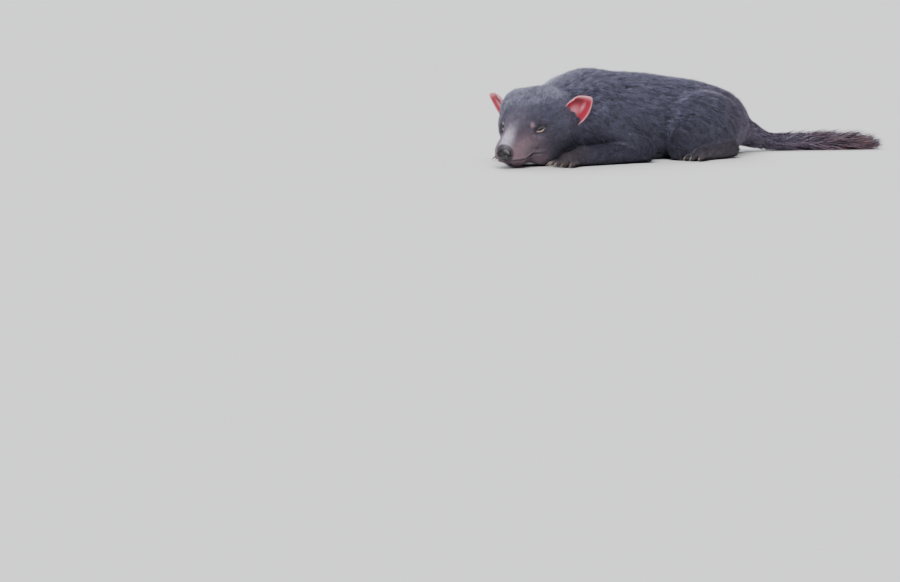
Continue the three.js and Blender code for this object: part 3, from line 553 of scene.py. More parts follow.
def drawn_onto(distance, p, most=1.0):
    """Moves corners along the field's slope onto the skin."""
    slope = slope_at(distance, p)
    steep = np.maximum((slope**2).sum(1), 0.2)
    step = np.clip(distance(p) / steep, -most, most)
    return p - slope * step[:, None]


corners = drawn_onto(skin_distance, corners)

# Round the eyes and along the mouth the sheet is cut finer, then drawn onto the lids and lips again.
net = bmesh.new()
made = [net.verts.new(corner) for corner in corners]
for quad in quads:
    net.faces.new([made[i] for i in quad])
eye_centres = [
    np.array(head_frame @ Vector((EYE_PLACE[0], s * EYE_PLACE[1], EYE_PLACE[2]))) for s in (1, -1)
]
mouth_track = moved(head_frame, mouth_groove)


def from_eyes(p):
    return np.minimum.reduce([np.linalg.norm(p - eye, axis=1) for eye in eye_centres])


def from_mouth(p):
    made = np.full(len(p), FAR)
    close = (p[:, 0] < -110) & (p[:, 2] < 40)
    made[close] = np.linalg.norm(p[close, None] - mouth_track[None], axis=2).min(1)
    return made


FINE_REACHES = ((13.5, 5), (12, 2.8))  # from the eyes and from the mouth, at each cut
for eye_reach, lip_reach in FINE_REACHES:
    middles = np.array([face.calc_center_median() for face in net.faces])
    chosen = np.flatnonzero((from_eyes(middles) < eye_reach) | (from_mouth(middles) < lip_reach))
    net.faces.ensure_lookup_table()
    edges = list({edge for i in chosen for edge in net.faces[i].edges})
    bmesh.ops.subdivide_edges(net, edges=edges, cuts=1, use_grid_fill=True)
bmesh.ops.triangulate(net, faces=[face for face in net.faces if len(face.verts) > 4])
net.verts.index_update()
corners = np.array([corner.co for corner in net.verts])
sheet = [[corner.index for corner in face.verts] for face in net.faces]
net.free()
fine = (from_eyes(corners) < 15) | (from_mouth(corners) < 7)
corners[fine] = drawn_onto(skin_distance, drawn_onto(skin_distance, corners[fine], 0.5), 0.3)
corners[:, 2] = np.maximum(corners[:, 2], 0.3)

skin_finish, tree, shader = new_material("skin under the coat", {
    "Roughness": 0.5,
    "Subsurface Weight": 0.08,
    "Subsurface Radius": (1.0, 0.4, 0.3),
    "Subsurface Scale": 0.002,
})
skin = new_object("skin", placed(corners), sheet, skin_finish)
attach(skin, "root")
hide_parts(*[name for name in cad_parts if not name.startswith(("eye", "nose", "ear"))])
normals = np.array([corner.normal for corner in skin.data.vertices])


def unit(vectors):
    vectors = np.asarray(vectors, float)
    return vectors / np.maximum(np.linalg.norm(vectors, axis=-1, keepdims=True), 1e-9)


def store(mesh, name, kind, values, key="value"):
    mesh.attributes.new(name, kind, "POINT").data.foreach_set(key, np.asarray(values, np.float32).ravel())


weight = shares(masses(corners.astype(np.float32)))
in_head = moved(head_inverse, corners)
head_turn = np.array(head_frame.to_3x3())
nearest_link = np.linalg.norm(corners[:, None] - tail_line[None], axis=2).argmin(1)
tail_way = unit(np.gradient(tail_line, axis=0))
lie = weight["trunk"][:, None] * unit((1, 0, -0.5))
lie += weight["neck"][:, None] * unit((0.95, 0.2, -0.4))
lie += weight["head"][:, None] * (unit(in_head - (96, 0, -16)) @ head_turn.T)
lie += weight["tail"][:, None] * tail_way[nearest_link]
for name, s in SIDES.items():
    lie += weight[f"shoulder_{name}"][:, None] * unit((0.8, s * 0.1, -0.6))
    lie += weight[f"forearm_{name}"][:, None] * unit((-1, s * 0.1, -0.1))
    lie += weight[f"thigh_{name}"][:, None] * unit((0.75, s * 0.1, -0.65))
    lie += weight[f"shank_{name}"][:, None] * unit((1, 0, -0.1))
for name, paw in paws.items():
    lie += weight[name][:, None] * np.array(paw["forward"])
lie[:, 2] *= smooth_step(corners[:, 2], 3, 26)
lie = unit(lie - normals * (lie * normals).sum(1)[:, None])

# Lengths in millimetres: the coat is shortest on the muzzle and paws and longest on the neck and back.
ahead = smooth_step(in_head[:, 0], -30, 58)
hair = weight["head"] * (7.5 - 5.9 * ahead ** 0.8) + 10.5 * weight["neck"]
hair = hair + 12 * weight["trunk"] + 11 * weight["tail"]
hair += 11 * share_of(weight, "shoulder", "thigh") + 7 * share_of(weight, "forearm", "shank")
hair += 3 * share_of(weight, "forepaw", "hindfoot")

# Skin and coat have the same colours: blue-black, browner on the rump and on the tail's end, flesh-toned on
# the muzzle, and pale over the eye and along the lower lid. Painted light and shade are mixed in: lighter on
# top and darker low down, a painted shadow low on the neck and a pale painted highlight on the bridge of the
# nose.
BLUE_BLACK = np.array((0.036, 0.035, 0.057))
RUMP_BROWN = np.array((0.041, 0.025, 0.038))
TAIL_BROWN = np.array((0.062, 0.027, 0.026))
MUZZLE = np.array((0.165, 0.100, 0.118))
BRIDGE_HIGHLIGHT = np.array((0.42, 0.37, 0.46))
NOSE_DARK = np.array((0.020, 0.014, 0.019))
LID = np.array((0.026, 0.020, 0.027))
RIM = np.array((0.58, 0.42, 0.36))
BROW_SPOT = np.array((0.42, 0.29, 0.29))
PAW = np.array((0.040, 0.030, 0.031))
BROW_PLACE = (20.3, 19.4, 0.7)
BROW_STRETCH = (2, 0.8, 1.3)


def mixed(colour, other, share):
    return colour + (other - colour) * np.asarray(share)[:, None]


# Painted light and shade: the tint grows lighter towards the top, where light falls, and darker low down.
tint = BLUE_BLACK * (0.5 + 0.7 * smooth_step(corners[:, 2], 26, 94))[:, None]
# Painted shadow: the lower part of the neck is darker, under the turned head.
tint *= (1 - 0.45 * weight["neck"] * smooth_step(-corners[:, 2], -88, -62))[:, None]
tint = mixed(tint, RUMP_BROWN, smooth_step(corners[:, 0], 110, 190) * 0.8)
tint = mixed(tint, TAIL_BROWN, smooth_step(corners[:, 0], 270, 380))
tint = mixed(tint, PAW, share_of(weight, "forepaw", "hindfoot"))
under_bridge = smooth_step(-in_head[:, 2], -2, 12)
muzzle_share = weight["head"] * smooth_step(in_head[:, 0], 2, 54)
tint = mixed(tint, MUZZLE, muzzle_share * (0.35 + 0.65 * under_bridge))
# Painted highlight: a pale patch on the top of the bridge, brightest just behind the nose pad.
bridge_highlight_share = smooth_step(in_head[:, 2] + 0.55 * (in_head[:, 0] - 60), -8, 4)
bridge_highlight_share *= smooth_step(-np.abs(in_head[:, 1]), -14, -1)
tint = mixed(tint, BRIDGE_HIGHLIGHT, weight["head"] * smooth_step(in_head[:, 0], 34, 62) * bridge_highlight_share)
nose_gap = np.linalg.norm(in_head - np.array(NOSE_PLACE), axis=1)
tint = mixed(tint, NOSE_DARK, 0.9 * smooth_step(-nose_gap, -13.3, -11.4))
under_nose = smooth_step(in_head[:, 0], 58, 64) * smooth_step(-np.abs(in_head[:, 1]), -6, -2)
tint = mixed(tint, NOSE_DARK, 0.75 * under_nose * smooth_step(-in_head[:, 2], 14, 18))
tint = mixed(tint, NOSE_DARK, 0.85 * smooth_step(-from_mouth(corners), -3.4, -1.2))
eye_gap = from_eyes(corners)
tint = mixed(tint, LID, smooth_step(-eye_gap, -14, -9))
sided = both_sides(in_head)
in_eye = moved(eye_frame(1).inverted(), sided)
at_eye = eye_gap < 16
gap = np.full(len(corners), FAR)
gap[at_eye] = cord(in_eye[at_eye], lower_rim, 0)
tint = mixed(tint, RIM, 0.95 * smooth_step(-gap, -1.5, -0.7))
gap[at_eye] = cord(in_eye[at_eye], upper_rim, 0)
tint = mixed(tint, BLUE_BLACK, 0.8 * smooth_step(-gap, -1.4, -0.5))
brow_spot = np.linalg.norm((sided - BROW_PLACE) / BROW_STRETCH, axis=1)
tint = mixed(tint, BROW_SPOT, 0.9 * smooth_step(-brow_spot, -5.0, -2.2))

# Tufts to the square metre. Lids, lips and soles are bare, and so is the skin that presses on the floor.
cover = 0.74e6 + 0.75e6 * weight["head"] + 0.5e6 * ahead * weight["head"]
cover += 0.4e6 * share_of(weight, "forepaw", "hindfoot")
cover *= smooth_step(eye_gap, 8.6, 10.5) * smooth_step(from_mouth(corners), 1.4, 3)
cover *= smooth_step(nose_gap, 11.5, 15) * smooth_step(corners[:, 2], 1.5, 5)
store(skin.data, "tint", "FLOAT_COLOR", np.c_[tint, np.ones(len(tint))], "color")
store(skin.data, "lie", "FLOAT_VECTOR", lie, "vector")
store(skin.data, "hair", "FLOAT", hair / 1000)


def socket(sockets, name):
    return next(s for s in sockets if s.name == name and s.enabled)


def node(tree, kind, values=None, **settings):
    """A node with its settings, and with values for some of its inputs."""
    made = tree.nodes.new(kind)
    for name, value in settings.items():
        setattr(made, name, value)
    for name, value in (values or {}).items():
        socket(made.inputs, name).default_value = value
    return made


def wire(tree, source, output, target, target_input):
    tree.links.new(socket(source.outputs, output), socket(target.inputs, target_input))


def texture(tree, kind, values):
    """A texture in the animal's own place, so that it stays on the piece."""
    made = node(tree, kind, values)
    wire(tree, node(tree, "ShaderNodeTexCoord"), "Object", made, "Vector")
    return made


def tinted(tree, shader, vary, darkest, lightest):
    """Base colour: the tint of the place, darker or lighter as the node vary says."""
    tone = node(tree, "ShaderNodeAttribute", attribute_name="tint")
    spread = node(tree, "ShaderNodeMapRange", {"To Min": darkest, "To Max": lightest})
    wire(tree, vary, "Fac", spread, "Value")
    scaled = node(tree, "ShaderNodeVectorMath", operation="SCALE")
    wire(tree, tone, "Color", scaled, "Vector")
    wire(tree, spread, "Result", scaled, "Scale")
    wire(tree, scaled, "Vector", shader, "Base Color")


def embossed(tree, shader, grain, output, strength, depth):
    """Fine relief, as deep as depth in metres, from a texture's output."""
    relief = node(tree, "ShaderNodeBump", {"Strength": strength, "Distance": depth})
    wire(tree, grain, output, relief, "Height")
    wire(tree, relief, "Normal", shader, "Normal")


SPECKS = {"Scale": 420, "Detail": 4}
tinted(tree, shader, texture(tree, "ShaderNodeTexNoise", SPECKS), 0.7, 1.3)
pores = texture(tree, "ShaderNodeTexNoise", {"Scale": 1500, "Detail": 5})
embossed(tree, shader, pores, "Fac", 0.6, 0.0006)

# The eyes are dark wet balls, held by the lids deep in the head. The clear front bulges a little over a
# brown-black iris with a round black pupil.
eye_finish, tree, shader = new_material("eyeball", {"Roughness": 0.08, "Specular IOR Level": 0.3})
ring = node(tree, "ShaderNodeAttribute", attribute_name="from_pupil")
iris = node(tree, "ShaderNodeValToRGB")
iris.color_ramp.elements[0].color = (0.002, 0.002, 0.002, 1)
iris.color_ramp.elements[0].position = 0.16
iris.color_ramp.elements[1].color = (0.03, 0.02, 0.017, 1)
iris.color_ramp.elements[1].position = 0.62
middle = iris.color_ramp.elements.new(0.3)
middle.color = (0.018, 0.009, 0.005, 1)
wire(tree, ring, "Fac", iris, "Fac")
wire(tree, iris, "Color", shader, "Base Color")
for name, s in (("eye_left", 1), ("eye_right", -1)):
    ball = bmesh.new()
    bmesh.ops.create_uvsphere(ball, u_segments=40, v_segments=24, radius=EYE_RADIUS)
    bmesh.ops.rotate(ball, verts=ball.verts, matrix=Matrix.Rotation(math.radians(90), 3, "Y"))
    mesh = bpy.data.meshes.new(name)
    ball.to_mesh(mesh)
    ball.free()
    points = np.array([corner.co for corner in mesh.vertices])
    ahead_of_eye = np.arccos(np.clip(points[:, 0] / EYE_RADIUS, -1, 1)) / math.pi
    points *= (1 + 0.05 * smooth_step(-ahead_of_eye, -0.24, -0.1))[:, None]
    points = placed(moved(head_frame @ eye_frame(s), points))
    mesh.vertices.foreach_set("co", points.ravel())
    store(mesh, "from_pupil", "FLOAT", ahead_of_eye)
    mesh.polygons.foreach_set("use_smooth", [True] * len(mesh.polygons))
    mesh.materials.append(eye_finish)
    mesh.update()
    eye = added(name + "_ball", mesh)
    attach(eye, "root")
    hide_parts(name)

# The nose pad is bare damp leathery skin that grows on the end of the muzzle. It is one rounded pad with a
# wing on each side, and two comma-shaped nostrils and a groove down the middle are sunk in it.
NOSE_STEP = 0.45
NOSE_REACH = ((62, 87), (-16, 16.3), (-27, 1))
NOSTRIL = (
    (81.0, 3.8, -12.4), (80.4, 5.2, -13.4), (79.0, 7.2, -13.9), (76.8, 9.3, -13.2), (73.8, 10.8, -11.4)
)
NOSTRIL_GIRTH = (2.3, 1.7, 1.15, 0.8, 0.5)
GROOVE = np.array([(83, 0, -6), (82.4, 0, -12), (80.8, 0, -18), (77, 0, -22)])


def nose_pad(h):
    m = both_sides(h)
    middle = ellipsoid(h, (75, 0, -12.7), (6.4, 9.2, 7.7))
    pad = joined(3, middle, ellipsoid(m, (74.3, 5.2, -13.7), (5.9, 5.0, 5.7)))
    wing = ellipsoid(m, (78.0, 7.2, -11.4), (2.6, 2.8, 2.2))
    stretches = zip(NOSTRIL, NOSTRIL[1:], NOSTRIL_GIRTH, NOSTRIL_GIRTH[1:])
    hollow = np.minimum.reduce([taper(m, *stretch) for stretch in stretches])
    return cut(1.1, cut(1.0, joined(1.5, pad, wing), hollow), cord(m, GROOVE, 0.45))


nose_lines = [np.arange(low, high, NOSE_STEP) for low, high in NOSE_REACH]
nose_points = np.stack(np.meshgrid(*nose_lines, indexing="ij"), -1)
values = nose_pad(nose_points.reshape(-1, 3).astype(np.float32)).reshape(nose_points.shape[:3])
points, quads = shell(values, nose_lines)
leather = {"Base Color": (0.014, 0.010, 0.014, 1), "Roughness": 0.36}
nose_finish, tree, shader = new_material("nose leather", leather)
grain = texture(tree, "ShaderNodeTexVoronoi", {"Scale": 1100})
embossed(tree, shader, grain, "Distance", 0.55, 0.0004)
nose = new_object("nose_pad", placed(moved(head_frame, points)), quads.tolist(), nose_finish)
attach(nose, "root")
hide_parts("nose")

# The ears are thin cups of almost bare skin that grow from the back corners of the head. They are blood-red
# where light comes through, with a fold and ridge inside, a pale rolled rim and a darker back. Painted
# highlights lie pale on the fold and ridge, and a painted shadow darkens the cup under its top edge.
EAR_HEIGHT = 40
EAR_HALF_WIDTH = 17
EAR_ROWS = 40
EAR_COLUMNS = 44
RED = np.array((0.46, 0.012, 0.045))
DEEP_RED = np.array((0.16, 0.003, 0.014))
PINK = np.array((0.74, 0.31, 0.36))
# The colour of the painted highlights inside the cup.
EAR_HIGHLIGHT = PINK * 1.1
EAR_BACK = np.array((0.10, 0.045, 0.050))
EAR_BEND = 1.25  # how far round the cup reaches to each side of its middle, in radians
ear_finish, tree, shader = new_material("ear skin", {
    "Roughness": 0.45,
    "Subsurface Weight": 0.35,
    "Subsurface Radius": (1.0, 0.22, 0.16),
    "Subsurface Scale": 0.003,
})
tinted(tree, shader, texture(tree, "ShaderNodeTexNoise", SPECKS), 0.85, 1.15)
veins = texture(tree, "ShaderNodeTexNoise", {"Scale": 380, "Detail": 3})
embossed(tree, shader, veins, "Fac", 0.35, 0.0008)


def spot_at(v, u, middle, spread):
    """1 at the middle of a soft round spot on the ear, whose u runs up it and v across it, and 0 far off."""
    return np.exp(-(((v - middle[0]) / spread[0]) ** 2) - ((u - middle[1]) / spread[1]) ** 2)


def turned_out(piece):
    """Makes the faces of a closed piece point outwards."""
    net = bmesh.new()
    net.from_mesh(piece.data)
    bmesh.ops.recalc_face_normals(net, faces=net.faces)
    net.to_mesh(piece.data)
    net.free()


for name, s in (("ear_left", 1), ("ear_right", -1)):
    base = np.array((-33, s * 44.5, -20))
    up = unit((-0.28, s * 0.55, 0.78))
    face_way = np.array((0.78, s * 0.6, 0.02))
    face_way = unit(face_way - up * (face_way @ up))
    across = np.cross(up, face_way) * s
    u, v = np.meshgrid(np.linspace(0, 1, EAR_ROWS + 1), np.linspace(-1, 1, EAR_COLUMNS + 1), indexing="ij")
    rise = u * (1 - 0.10 * v**4 * u + 0.13 * v * u)
    outline = np.sqrt(np.sin(math.pi * (0.14 + 0.71 * u**0.9)))
    edge = np.maximum(np.abs(v) ** 6, u**8)
    sheets, colours = [], []
    for inner in (0, 1):
        half = EAR_HALF_WIDTH * outline * (1 - 0.06 * inner)
        depth = (9 - 5 * u) * (1 - np.cos(v * EAR_BEND)) + 1.9 * inner * (1 - 0.35 * u) * (1 - 0.5 * edge)
        fold = spot_at(v, u, (-0.25, 0.3), (0.2, 0.22))
        ridge = spot_at(v, u, (0.35, 0.45), (0.16, 0.35))
        depth += inner * (2.2 * fold + 1.1 * ridge) + 0.9 * smooth_step(edge, 0.3, 1)
        points = (
            base
            + up * (EAR_HEIGHT * rise * (1 - 0.03 * inner * u) - 2)[..., None]
            + across * (half * np.sin(v * EAR_BEND) / math.sin(EAR_BEND) * (1 + 0.08 * v))[..., None]
            + face_way * (depth - 4 + 3 * u * u)[..., None]
        )
        sheets.append(points.reshape(-1, 3))
        flat_u, flat_v, flat_edge = u.ravel(), v.ravel(), edge.ravel()
        if inner:
            shown = np.tile(RED, (flat_u.size, 1))
            # Painted shadow: deep red in the cup under its top edge.
            shown = mixed(shown, DEEP_RED, 0.9 * spot_at(flat_v, flat_u, (-0.1, 0.78), (0.6, 0.14)))
            # Painted highlights: pale pink on the fold and along the ridge.
            shown = mixed(shown, EAR_HIGHLIGHT, 0.9 * spot_at(flat_v, flat_u, (-0.05, 0.34), (0.3, 0.22)))
            shown = mixed(shown, EAR_HIGHLIGHT, 0.7 * spot_at(flat_v, flat_u, (0.35, 0.6), (0.1, 0.16)))
            shown = mixed(shown, DEEP_RED, 0.5 * smooth_step(-flat_u, -0.2, -0.02))
        else:
            shown = np.tile(EAR_BACK, (flat_u.size, 1))
        colours.append(mixed(shown, PINK, 0.85 * smooth_step(flat_edge, 0.25, 0.8)))
    at = np.arange(2 * u.size).reshape(2, *u.shape)
    faces = []
    for inner in (0, 1):
        a, b, c, d = at[inner, :-1, :-1], at[inner, :-1, 1:], at[inner, 1:, 1:], at[inner, 1:, :-1]
        order = (a, d, c, b) if inner else (a, b, c, d)
        faces.append(np.stack([corner.ravel() for corner in order], 1))
    for outer_run, inner_run in (
        (at[0, :, 0], at[1, :, 0]),
        (at[0, ::-1, -1], at[1, ::-1, -1]),
        (at[0, 0, ::-1], at[1, 0, ::-1]),
        (at[0, -1], at[1, -1]),
    ):
        faces.append(np.stack([outer_run[:-1], outer_run[1:], inner_run[1:], inner_run[:-1]], 1))
    points = placed(moved(head_frame, np.concatenate(sheets)))
    ear = new_object(name + "_cup", points, np.concatenate(faces).tolist(), ear_finish)
    turned_out(ear)
    colour = np.concatenate(colours)
    store(ear.data, "tint", "FLOAT_COLOR", np.c_[colour, np.ones(len(colour))], "color")
    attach(ear, "root")
    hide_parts(name)

# The claws are curved horn, one growing from the end of each toe, with its point near the floor. They are
# dark at the root, and paler and streaked towards the point.
CLAW_RINGS = 12
CLAW_SIDES = 10
CLAW_RADIUS = 2.5
claw_finish, tree, shader = new_material("claw horn", {"Roughness": 0.3})
stretch = texture(tree, "ShaderNodeMapping", {"Scale": (0.35, 2.2, 2.2)})
streaks = node(tree, "ShaderNodeTexNoise", {"Scale": 260, "Detail": 3})
wire(tree, stretch, "Vector", streaks, "Vector")
along = node(tree, "ShaderNodeAttribute", attribute_name="along")
blend_in = node(tree, "ShaderNodeMath", operation="MULTIPLY_ADD")
blend_in.inputs[1].default_value = 0.55
wire(tree, along, "Fac", blend_in, "Value")
tree.links.new(streaks.outputs["Fac"], blend_in.inputs[2])
horn = node(tree, "ShaderNodeValToRGB")
horn.color_ramp.elements[0].color = (0.012, 0.010, 0.010, 1)
horn.color_ramp.elements[0].position = 0.55
horn.color_ramp.elements[1].color = (0.16, 0.125, 0.10, 1)
horn.color_ramp.elements[1].position = 1.0
tree.links.new(blend_in.outputs[0], horn.inputs["Fac"])
wire(tree, horn, "Color", shader, "Base Color")


def tube_faces(first, rings, sides):
    """The faces of a tube of rings, flat at its start, whose end is one point. Its corners start at first."""
    faces = []
    for a in range(first, first + (rings - 1) * sides, sides):
        for j in range(sides):
            k = (j + 1) % sides
            faces.append((a + j, a + k, a + sides + k, a + sides + j))
    last = first + (rings - 1) * sides
    faces.append(tuple(first + j for j in reversed(range(sides))))
    return faces + [(last + j, last + (j + 1) % sides, last + sides) for j in range(sides)]


for name, paw in paws.items():
    points, faces, marks = [], [], []
    for _, tip, way in paw["digits"]:
        root = tip - way * (paw["radius"] * 0.35)
        root.z = tip.z + 1.4
        crest = root + way * (paw["claw"] * 0.6)
        crest.z = root.z + 2.2
        end = root + way * (paw["claw"] + 1)
        end.z = 0.8
        side_way = Vector((-way.y, way.x, 0))
        t = np.linspace(0, 1, CLAW_RINGS, endpoint=False)
        line = bezier(root, crest, end, t)
        first = len(points)
        for i, centre in enumerate(line):
            ahead_way = Vector(line[min(i + 1, CLAW_RINGS - 1)] - line[max(i - 1, 0)]).normalized()
            upright = side_way.cross(ahead_way) * -1
            radius = CLAW_RADIUS * math.sqrt(1 - t[i] ** 2) * (1 - 0.35 * t[i])
            for j in range(CLAW_SIDES):
                turn = 2 * math.pi * j / CLAW_SIDES
                lower = 1 if math.sin(turn) > 0 else 0.75
                out = side_way * (0.66 * radius * math.cos(turn))
                points.append(Vector(centre) + out + upright * (lower * radius * math.sin(turn)))
                marks.append(t[i])
        points.append(end)
        marks.append(1)
        faces += tube_faces(first, CLAW_RINGS, CLAW_SIDES)
    claws = new_object(name + "_claws", placed(points), faces, claw_finish)
    turned_out(claws)
    store(claws.data, "along", "FLOAT", marks)
    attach(claws, "root")
    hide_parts(name)

# The coat is short, dense and sleek. It grows in fine flat tufts rooted in the skin, which bend back to lie
# along the body and overlap like thatch, from long on the back and neck to a velvet on the muzzle and paws.
PATCH = 0.003  # each tuft's share of the coat's map
DARKEST = 0.22  # tufts against the tint of their place
LIGHTEST = 2.9
coat_finish, tree, shader = new_material("coat hair", {
    "Roughness": 0.42,
    "Specular IOR Level": 0.75,
    "Specular Tint": (0.80, 0.80, 1.0, 1),
    "Sheen Weight": 0.3,
    "Sheen Roughness": 0.35,
    "Sheen Tint": (0.76, 0.75, 1.0, 1),
})
tuft_shade = node(tree, "ShaderNodeAttribute", attribute_name="shade")
tinted(tree, shader, tuft_shade, DARKEST, LIGHTEST)


def blade(name, stops, lift, droop):
    """A tuft one unit long: a closed three-sided blade that rises from the skin and droops to its tip."""
    points, faces = [], []
    for t in stops:
        z = lift * t - droop * t * t
        half = 0.5 * (1 - 0.75 * max(t, 0) ** 1.5)
        points += [(t, -half, z), (t, half, z), (t, 0, z + 0.028 * (1 - t))]
    points.append((1, 0, lift - droop))
    faces.append((0, 1, 2))
    for ring in range(len(stops) - 1):
        a = 3 * ring
        for i, j in ((0, 1), (1, 2), (2, 0)):
            faces.append((a + j, a + i, a + 3 + i, a + 3 + j))
    a = 3 * (len(stops) - 1)
    faces += [(a + j, a + i, len(points) - 1) for i, j in ((0, 1), (1, 2), (2, 0))]
    made = new_object(name, points, faces, coat_finish)
    layer = made.data.uv_layers.new(name="OFBake")
    for loop in made.data.loops:
        t, across, _ = made.data.vertices[loop.vertex_index].co
        layer.data[loop.index].uv = (0.1 + 0.8 * t, 0.5 + 0.8 * across)
    return made


short_blade = blade("short_blade", (-0.06, 0.5), 0.34, 0.19)
long_blade = blade("long_blade", (-0.05, 0.3, 0.62), 0.42, 0.24)

# One tree plants every stretch of the coat. Width is the least width of a tuft in metres, Slimness the width
# that it gains with its length and Lift how far it stands off the skin. Wander and Clumping are how far it
# strays from the lie of the coat, by itself and with its neighbours.
coat_tree = bpy.data.node_groups.new("coat", "GeometryNodeTree")
for label, kind in (
    ("Geometry", "Geometry"), ("Blade", "Object"), ("Seed", "Int"), ("Width", "Float"),
    ("Slimness", "Float"), ("Lift", "Float"), ("Wander", "Float"), ("Clumping", "Float"),
):
    coat_tree.interface.new_socket(label, in_out="INPUT", socket_type="NodeSocket" + kind)
coat_tree.interface.new_socket("Geometry", in_out="OUTPUT", socket_type="NodeSocketGeometry")
given = node(coat_tree, "NodeGroupInput")


def named(attribute, data_type):
    return node(coat_tree, "GeometryNodeInputNamedAttribute", {"Name": attribute}, data_type=data_type)


def number(operation, *sides, clamp=False):
    """A maths node of the coat. Each side is a value, or a node with the name of its output."""
    made = node(coat_tree, "ShaderNodeMath", operation=operation, use_clamp=clamp)
    for i, side in enumerate(sides):
        if isinstance(side, tuple):
            coat_tree.links.new(socket(side[0].outputs, side[1]), made.inputs[i])
        else:
            made.inputs[i].default_value = side
    return made, "Value"


def chance(low, high, offset):
    """A random number for each tuft, with a seed of its own."""
    made = node(coat_tree, "FunctionNodeRandomValue", {"Min": low, "Max": high}, data_type="FLOAT")
    wire(coat_tree, *number("ADD", (given, "Seed"), offset), made, "Seed")
    return made, "Value"


roots = node(coat_tree, "GeometryNodeDistributePointsOnFaces", distribute_method="RANDOM")
wire(coat_tree, given, "Geometry", roots, "Mesh")
wire(coat_tree, named("cover", "FLOAT"), "Attribute", roots, "Density")
wire(coat_tree, given, "Seed", roots, "Seed")
upright = node(coat_tree, "FunctionNodeAlignRotationToVector", axis="Z")
wire(coat_tree, roots, "Normal", upright, "Vector")
# Neighbouring tufts lean and shine alike in small patches, as hair that lies in locks does.
LEAN_SCALE = 110  # patches to the metre, roughly
SHINE_SCALE = 200
SHINE_START = 0.4  # the noise is dark up to here, and light from 1 / SHINE_EDGE further on
SHINE_EDGE = 5.0
SHINE_MEAN = 0.4
SHINE_STRENGTH = 1.05
FULL_SHINE = 85  # hair longer than 1 / FULL_SHINE metres shows its patches in full
EVEN_SHADE = 0.3
TUFT_SPREAD = 0.22
where = node(coat_tree, "GeometryNodeInputPosition"), "Position"
lie_way = named("lie", "FLOAT_VECTOR"), "Attribute"
hair_long = named("hair", "FLOAT"), "Attribute"


def patches(scale, detail):
    made = node(coat_tree, "ShaderNodeTexNoise", {"Scale": scale, "Detail": detail})
    wire(coat_tree, *where, made, "Vector")
    return made, "Fac"


def vector(**parts):
    made = node(coat_tree, "ShaderNodeCombineXYZ")
    for axis, part in parts.items():
        wire(coat_tree, *part, made, axis)
    return made


swirl = patches(LEAN_SCALE, 2)
shine = patches(SHINE_SCALE, 3)
along_lie = node(coat_tree, "FunctionNodeAlignRotationToVector", axis="X", pivot_axis="Z")
wire(coat_tree, upright, "Rotation", along_lie, "Rotation")
wire(coat_tree, *lie_way, along_lie, "Vector")
clump = number("MULTIPLY", number("SUBTRACT", swirl, 0.5), (given, "Clumping"))
turned = number("ADD", clump, number("MULTIPLY", chance(-1, 1, 11), (given, "Wander")))
stand = number("MULTIPLY", number("SUBTRACT", shine, 0.5), 0.5)
lifted = number("ADD", number("ADD", (given, "Lift"), chance(-0.10, 0.16, 12)), stand)
as_turn = node(coat_tree, "FunctionNodeEulerToRotation")
wire(coat_tree, vector(Y=number("MULTIPLY", lifted, -1), Z=turned), "Vector", as_turn, "Euler")
set_at = node(coat_tree, "FunctionNodeRotateRotation", rotation_space="LOCAL")
wire(coat_tree, along_lie, "Rotation", set_at, "Rotation")
wire(coat_tree, as_turn, "Rotation", set_at, "Rotate By")
long = number("MULTIPLY", hair_long, chance(0.75, 1.2, 13))
wide = number("ADD", (given, "Width"), number("MULTIPLY", long, (given, "Slimness")))
wide = number("MULTIPLY", wide, chance(0.7, 1.25, 14))
tuft = node(coat_tree, "GeometryNodeObjectInfo")
wire(coat_tree, given, "Blade", tuft, "Object")
planted = node(coat_tree, "GeometryNodeInstanceOnPoints")
wire(coat_tree, roots, "Points", planted, "Points")
wire(coat_tree, tuft, "Geometry", planted, "Instance")
wire(coat_tree, set_at, "Rotation", planted, "Rotation")
wire(coat_tree, vector(X=long, Y=wide, Z=long), "Vector", planted, "Scale")
kept = planted, "Instances"
sharper = number("MULTIPLY_ADD", shine, SHINE_EDGE, -SHINE_EDGE * SHINE_START, clamp=True)
strength = number("MULTIPLY", number("MULTIPLY", hair_long, FULL_SHINE, clamp=True), SHINE_STRENGTH)
patch = number("MULTIPLY", number("SUBTRACT", sharper, SHINE_MEAN), strength)
shade = number("ADD", number("ADD", patch, EVEN_SHADE), number("MULTIPLY", chance(0, 1, 15), TUFT_SPREAD))
for label, kind, value in (("root", "FLOAT_VECTOR", where), ("shade", "FLOAT", shade)):
    keep = node(
        coat_tree, "GeometryNodeStoreNamedAttribute", {"Name": label}, data_type=kind, domain="INSTANCE"
    )
    wire(coat_tree, *kept, keep, "Geometry")
    wire(coat_tree, *value, keep, "Value")
    kept = keep, "Geometry"
real = node(coat_tree, "GeometryNodeRealizeInstances")
wire(coat_tree, *kept, real, "Geometry")
finish = node(coat_tree, "GeometryNodeSetMaterial", {"Material": coat_finish})
wire(coat_tree, real, "Geometry", finish, "Geometry")
wire(coat_tree, finish, "Geometry", node(coat_tree, "NodeGroupOutput"), "Geometry")
inputs = {item.name: item.identifier for item in coat_tree.interface.items_tree if item.in_out == "INPUT"}


def unrolled(p, line):
    """How far along a line each point is, and its angle round the line from underneath."""
    nearest = np.stack([((p - spot) ** 2).sum(1) for spot in line]).argmin(0)
    way = unit(np.gradient(line, axis=0))[nearest]
    offset = p - line[nearest]
    ahead = (offset * way).sum(1)
    run = np.r_[0, np.cumsum(np.linalg.norm(np.diff(line, axis=0), axis=1))][nearest] + ahead
    level = unit(np.cross(way, (0, 0, 1.0)))
    upward = np.cross(level, way)
    offset = offset - way * ahead[:, None]
    return np.stack([run, np.arctan2((offset * level).sum(1), (offset * upward).sum(1))], 1)


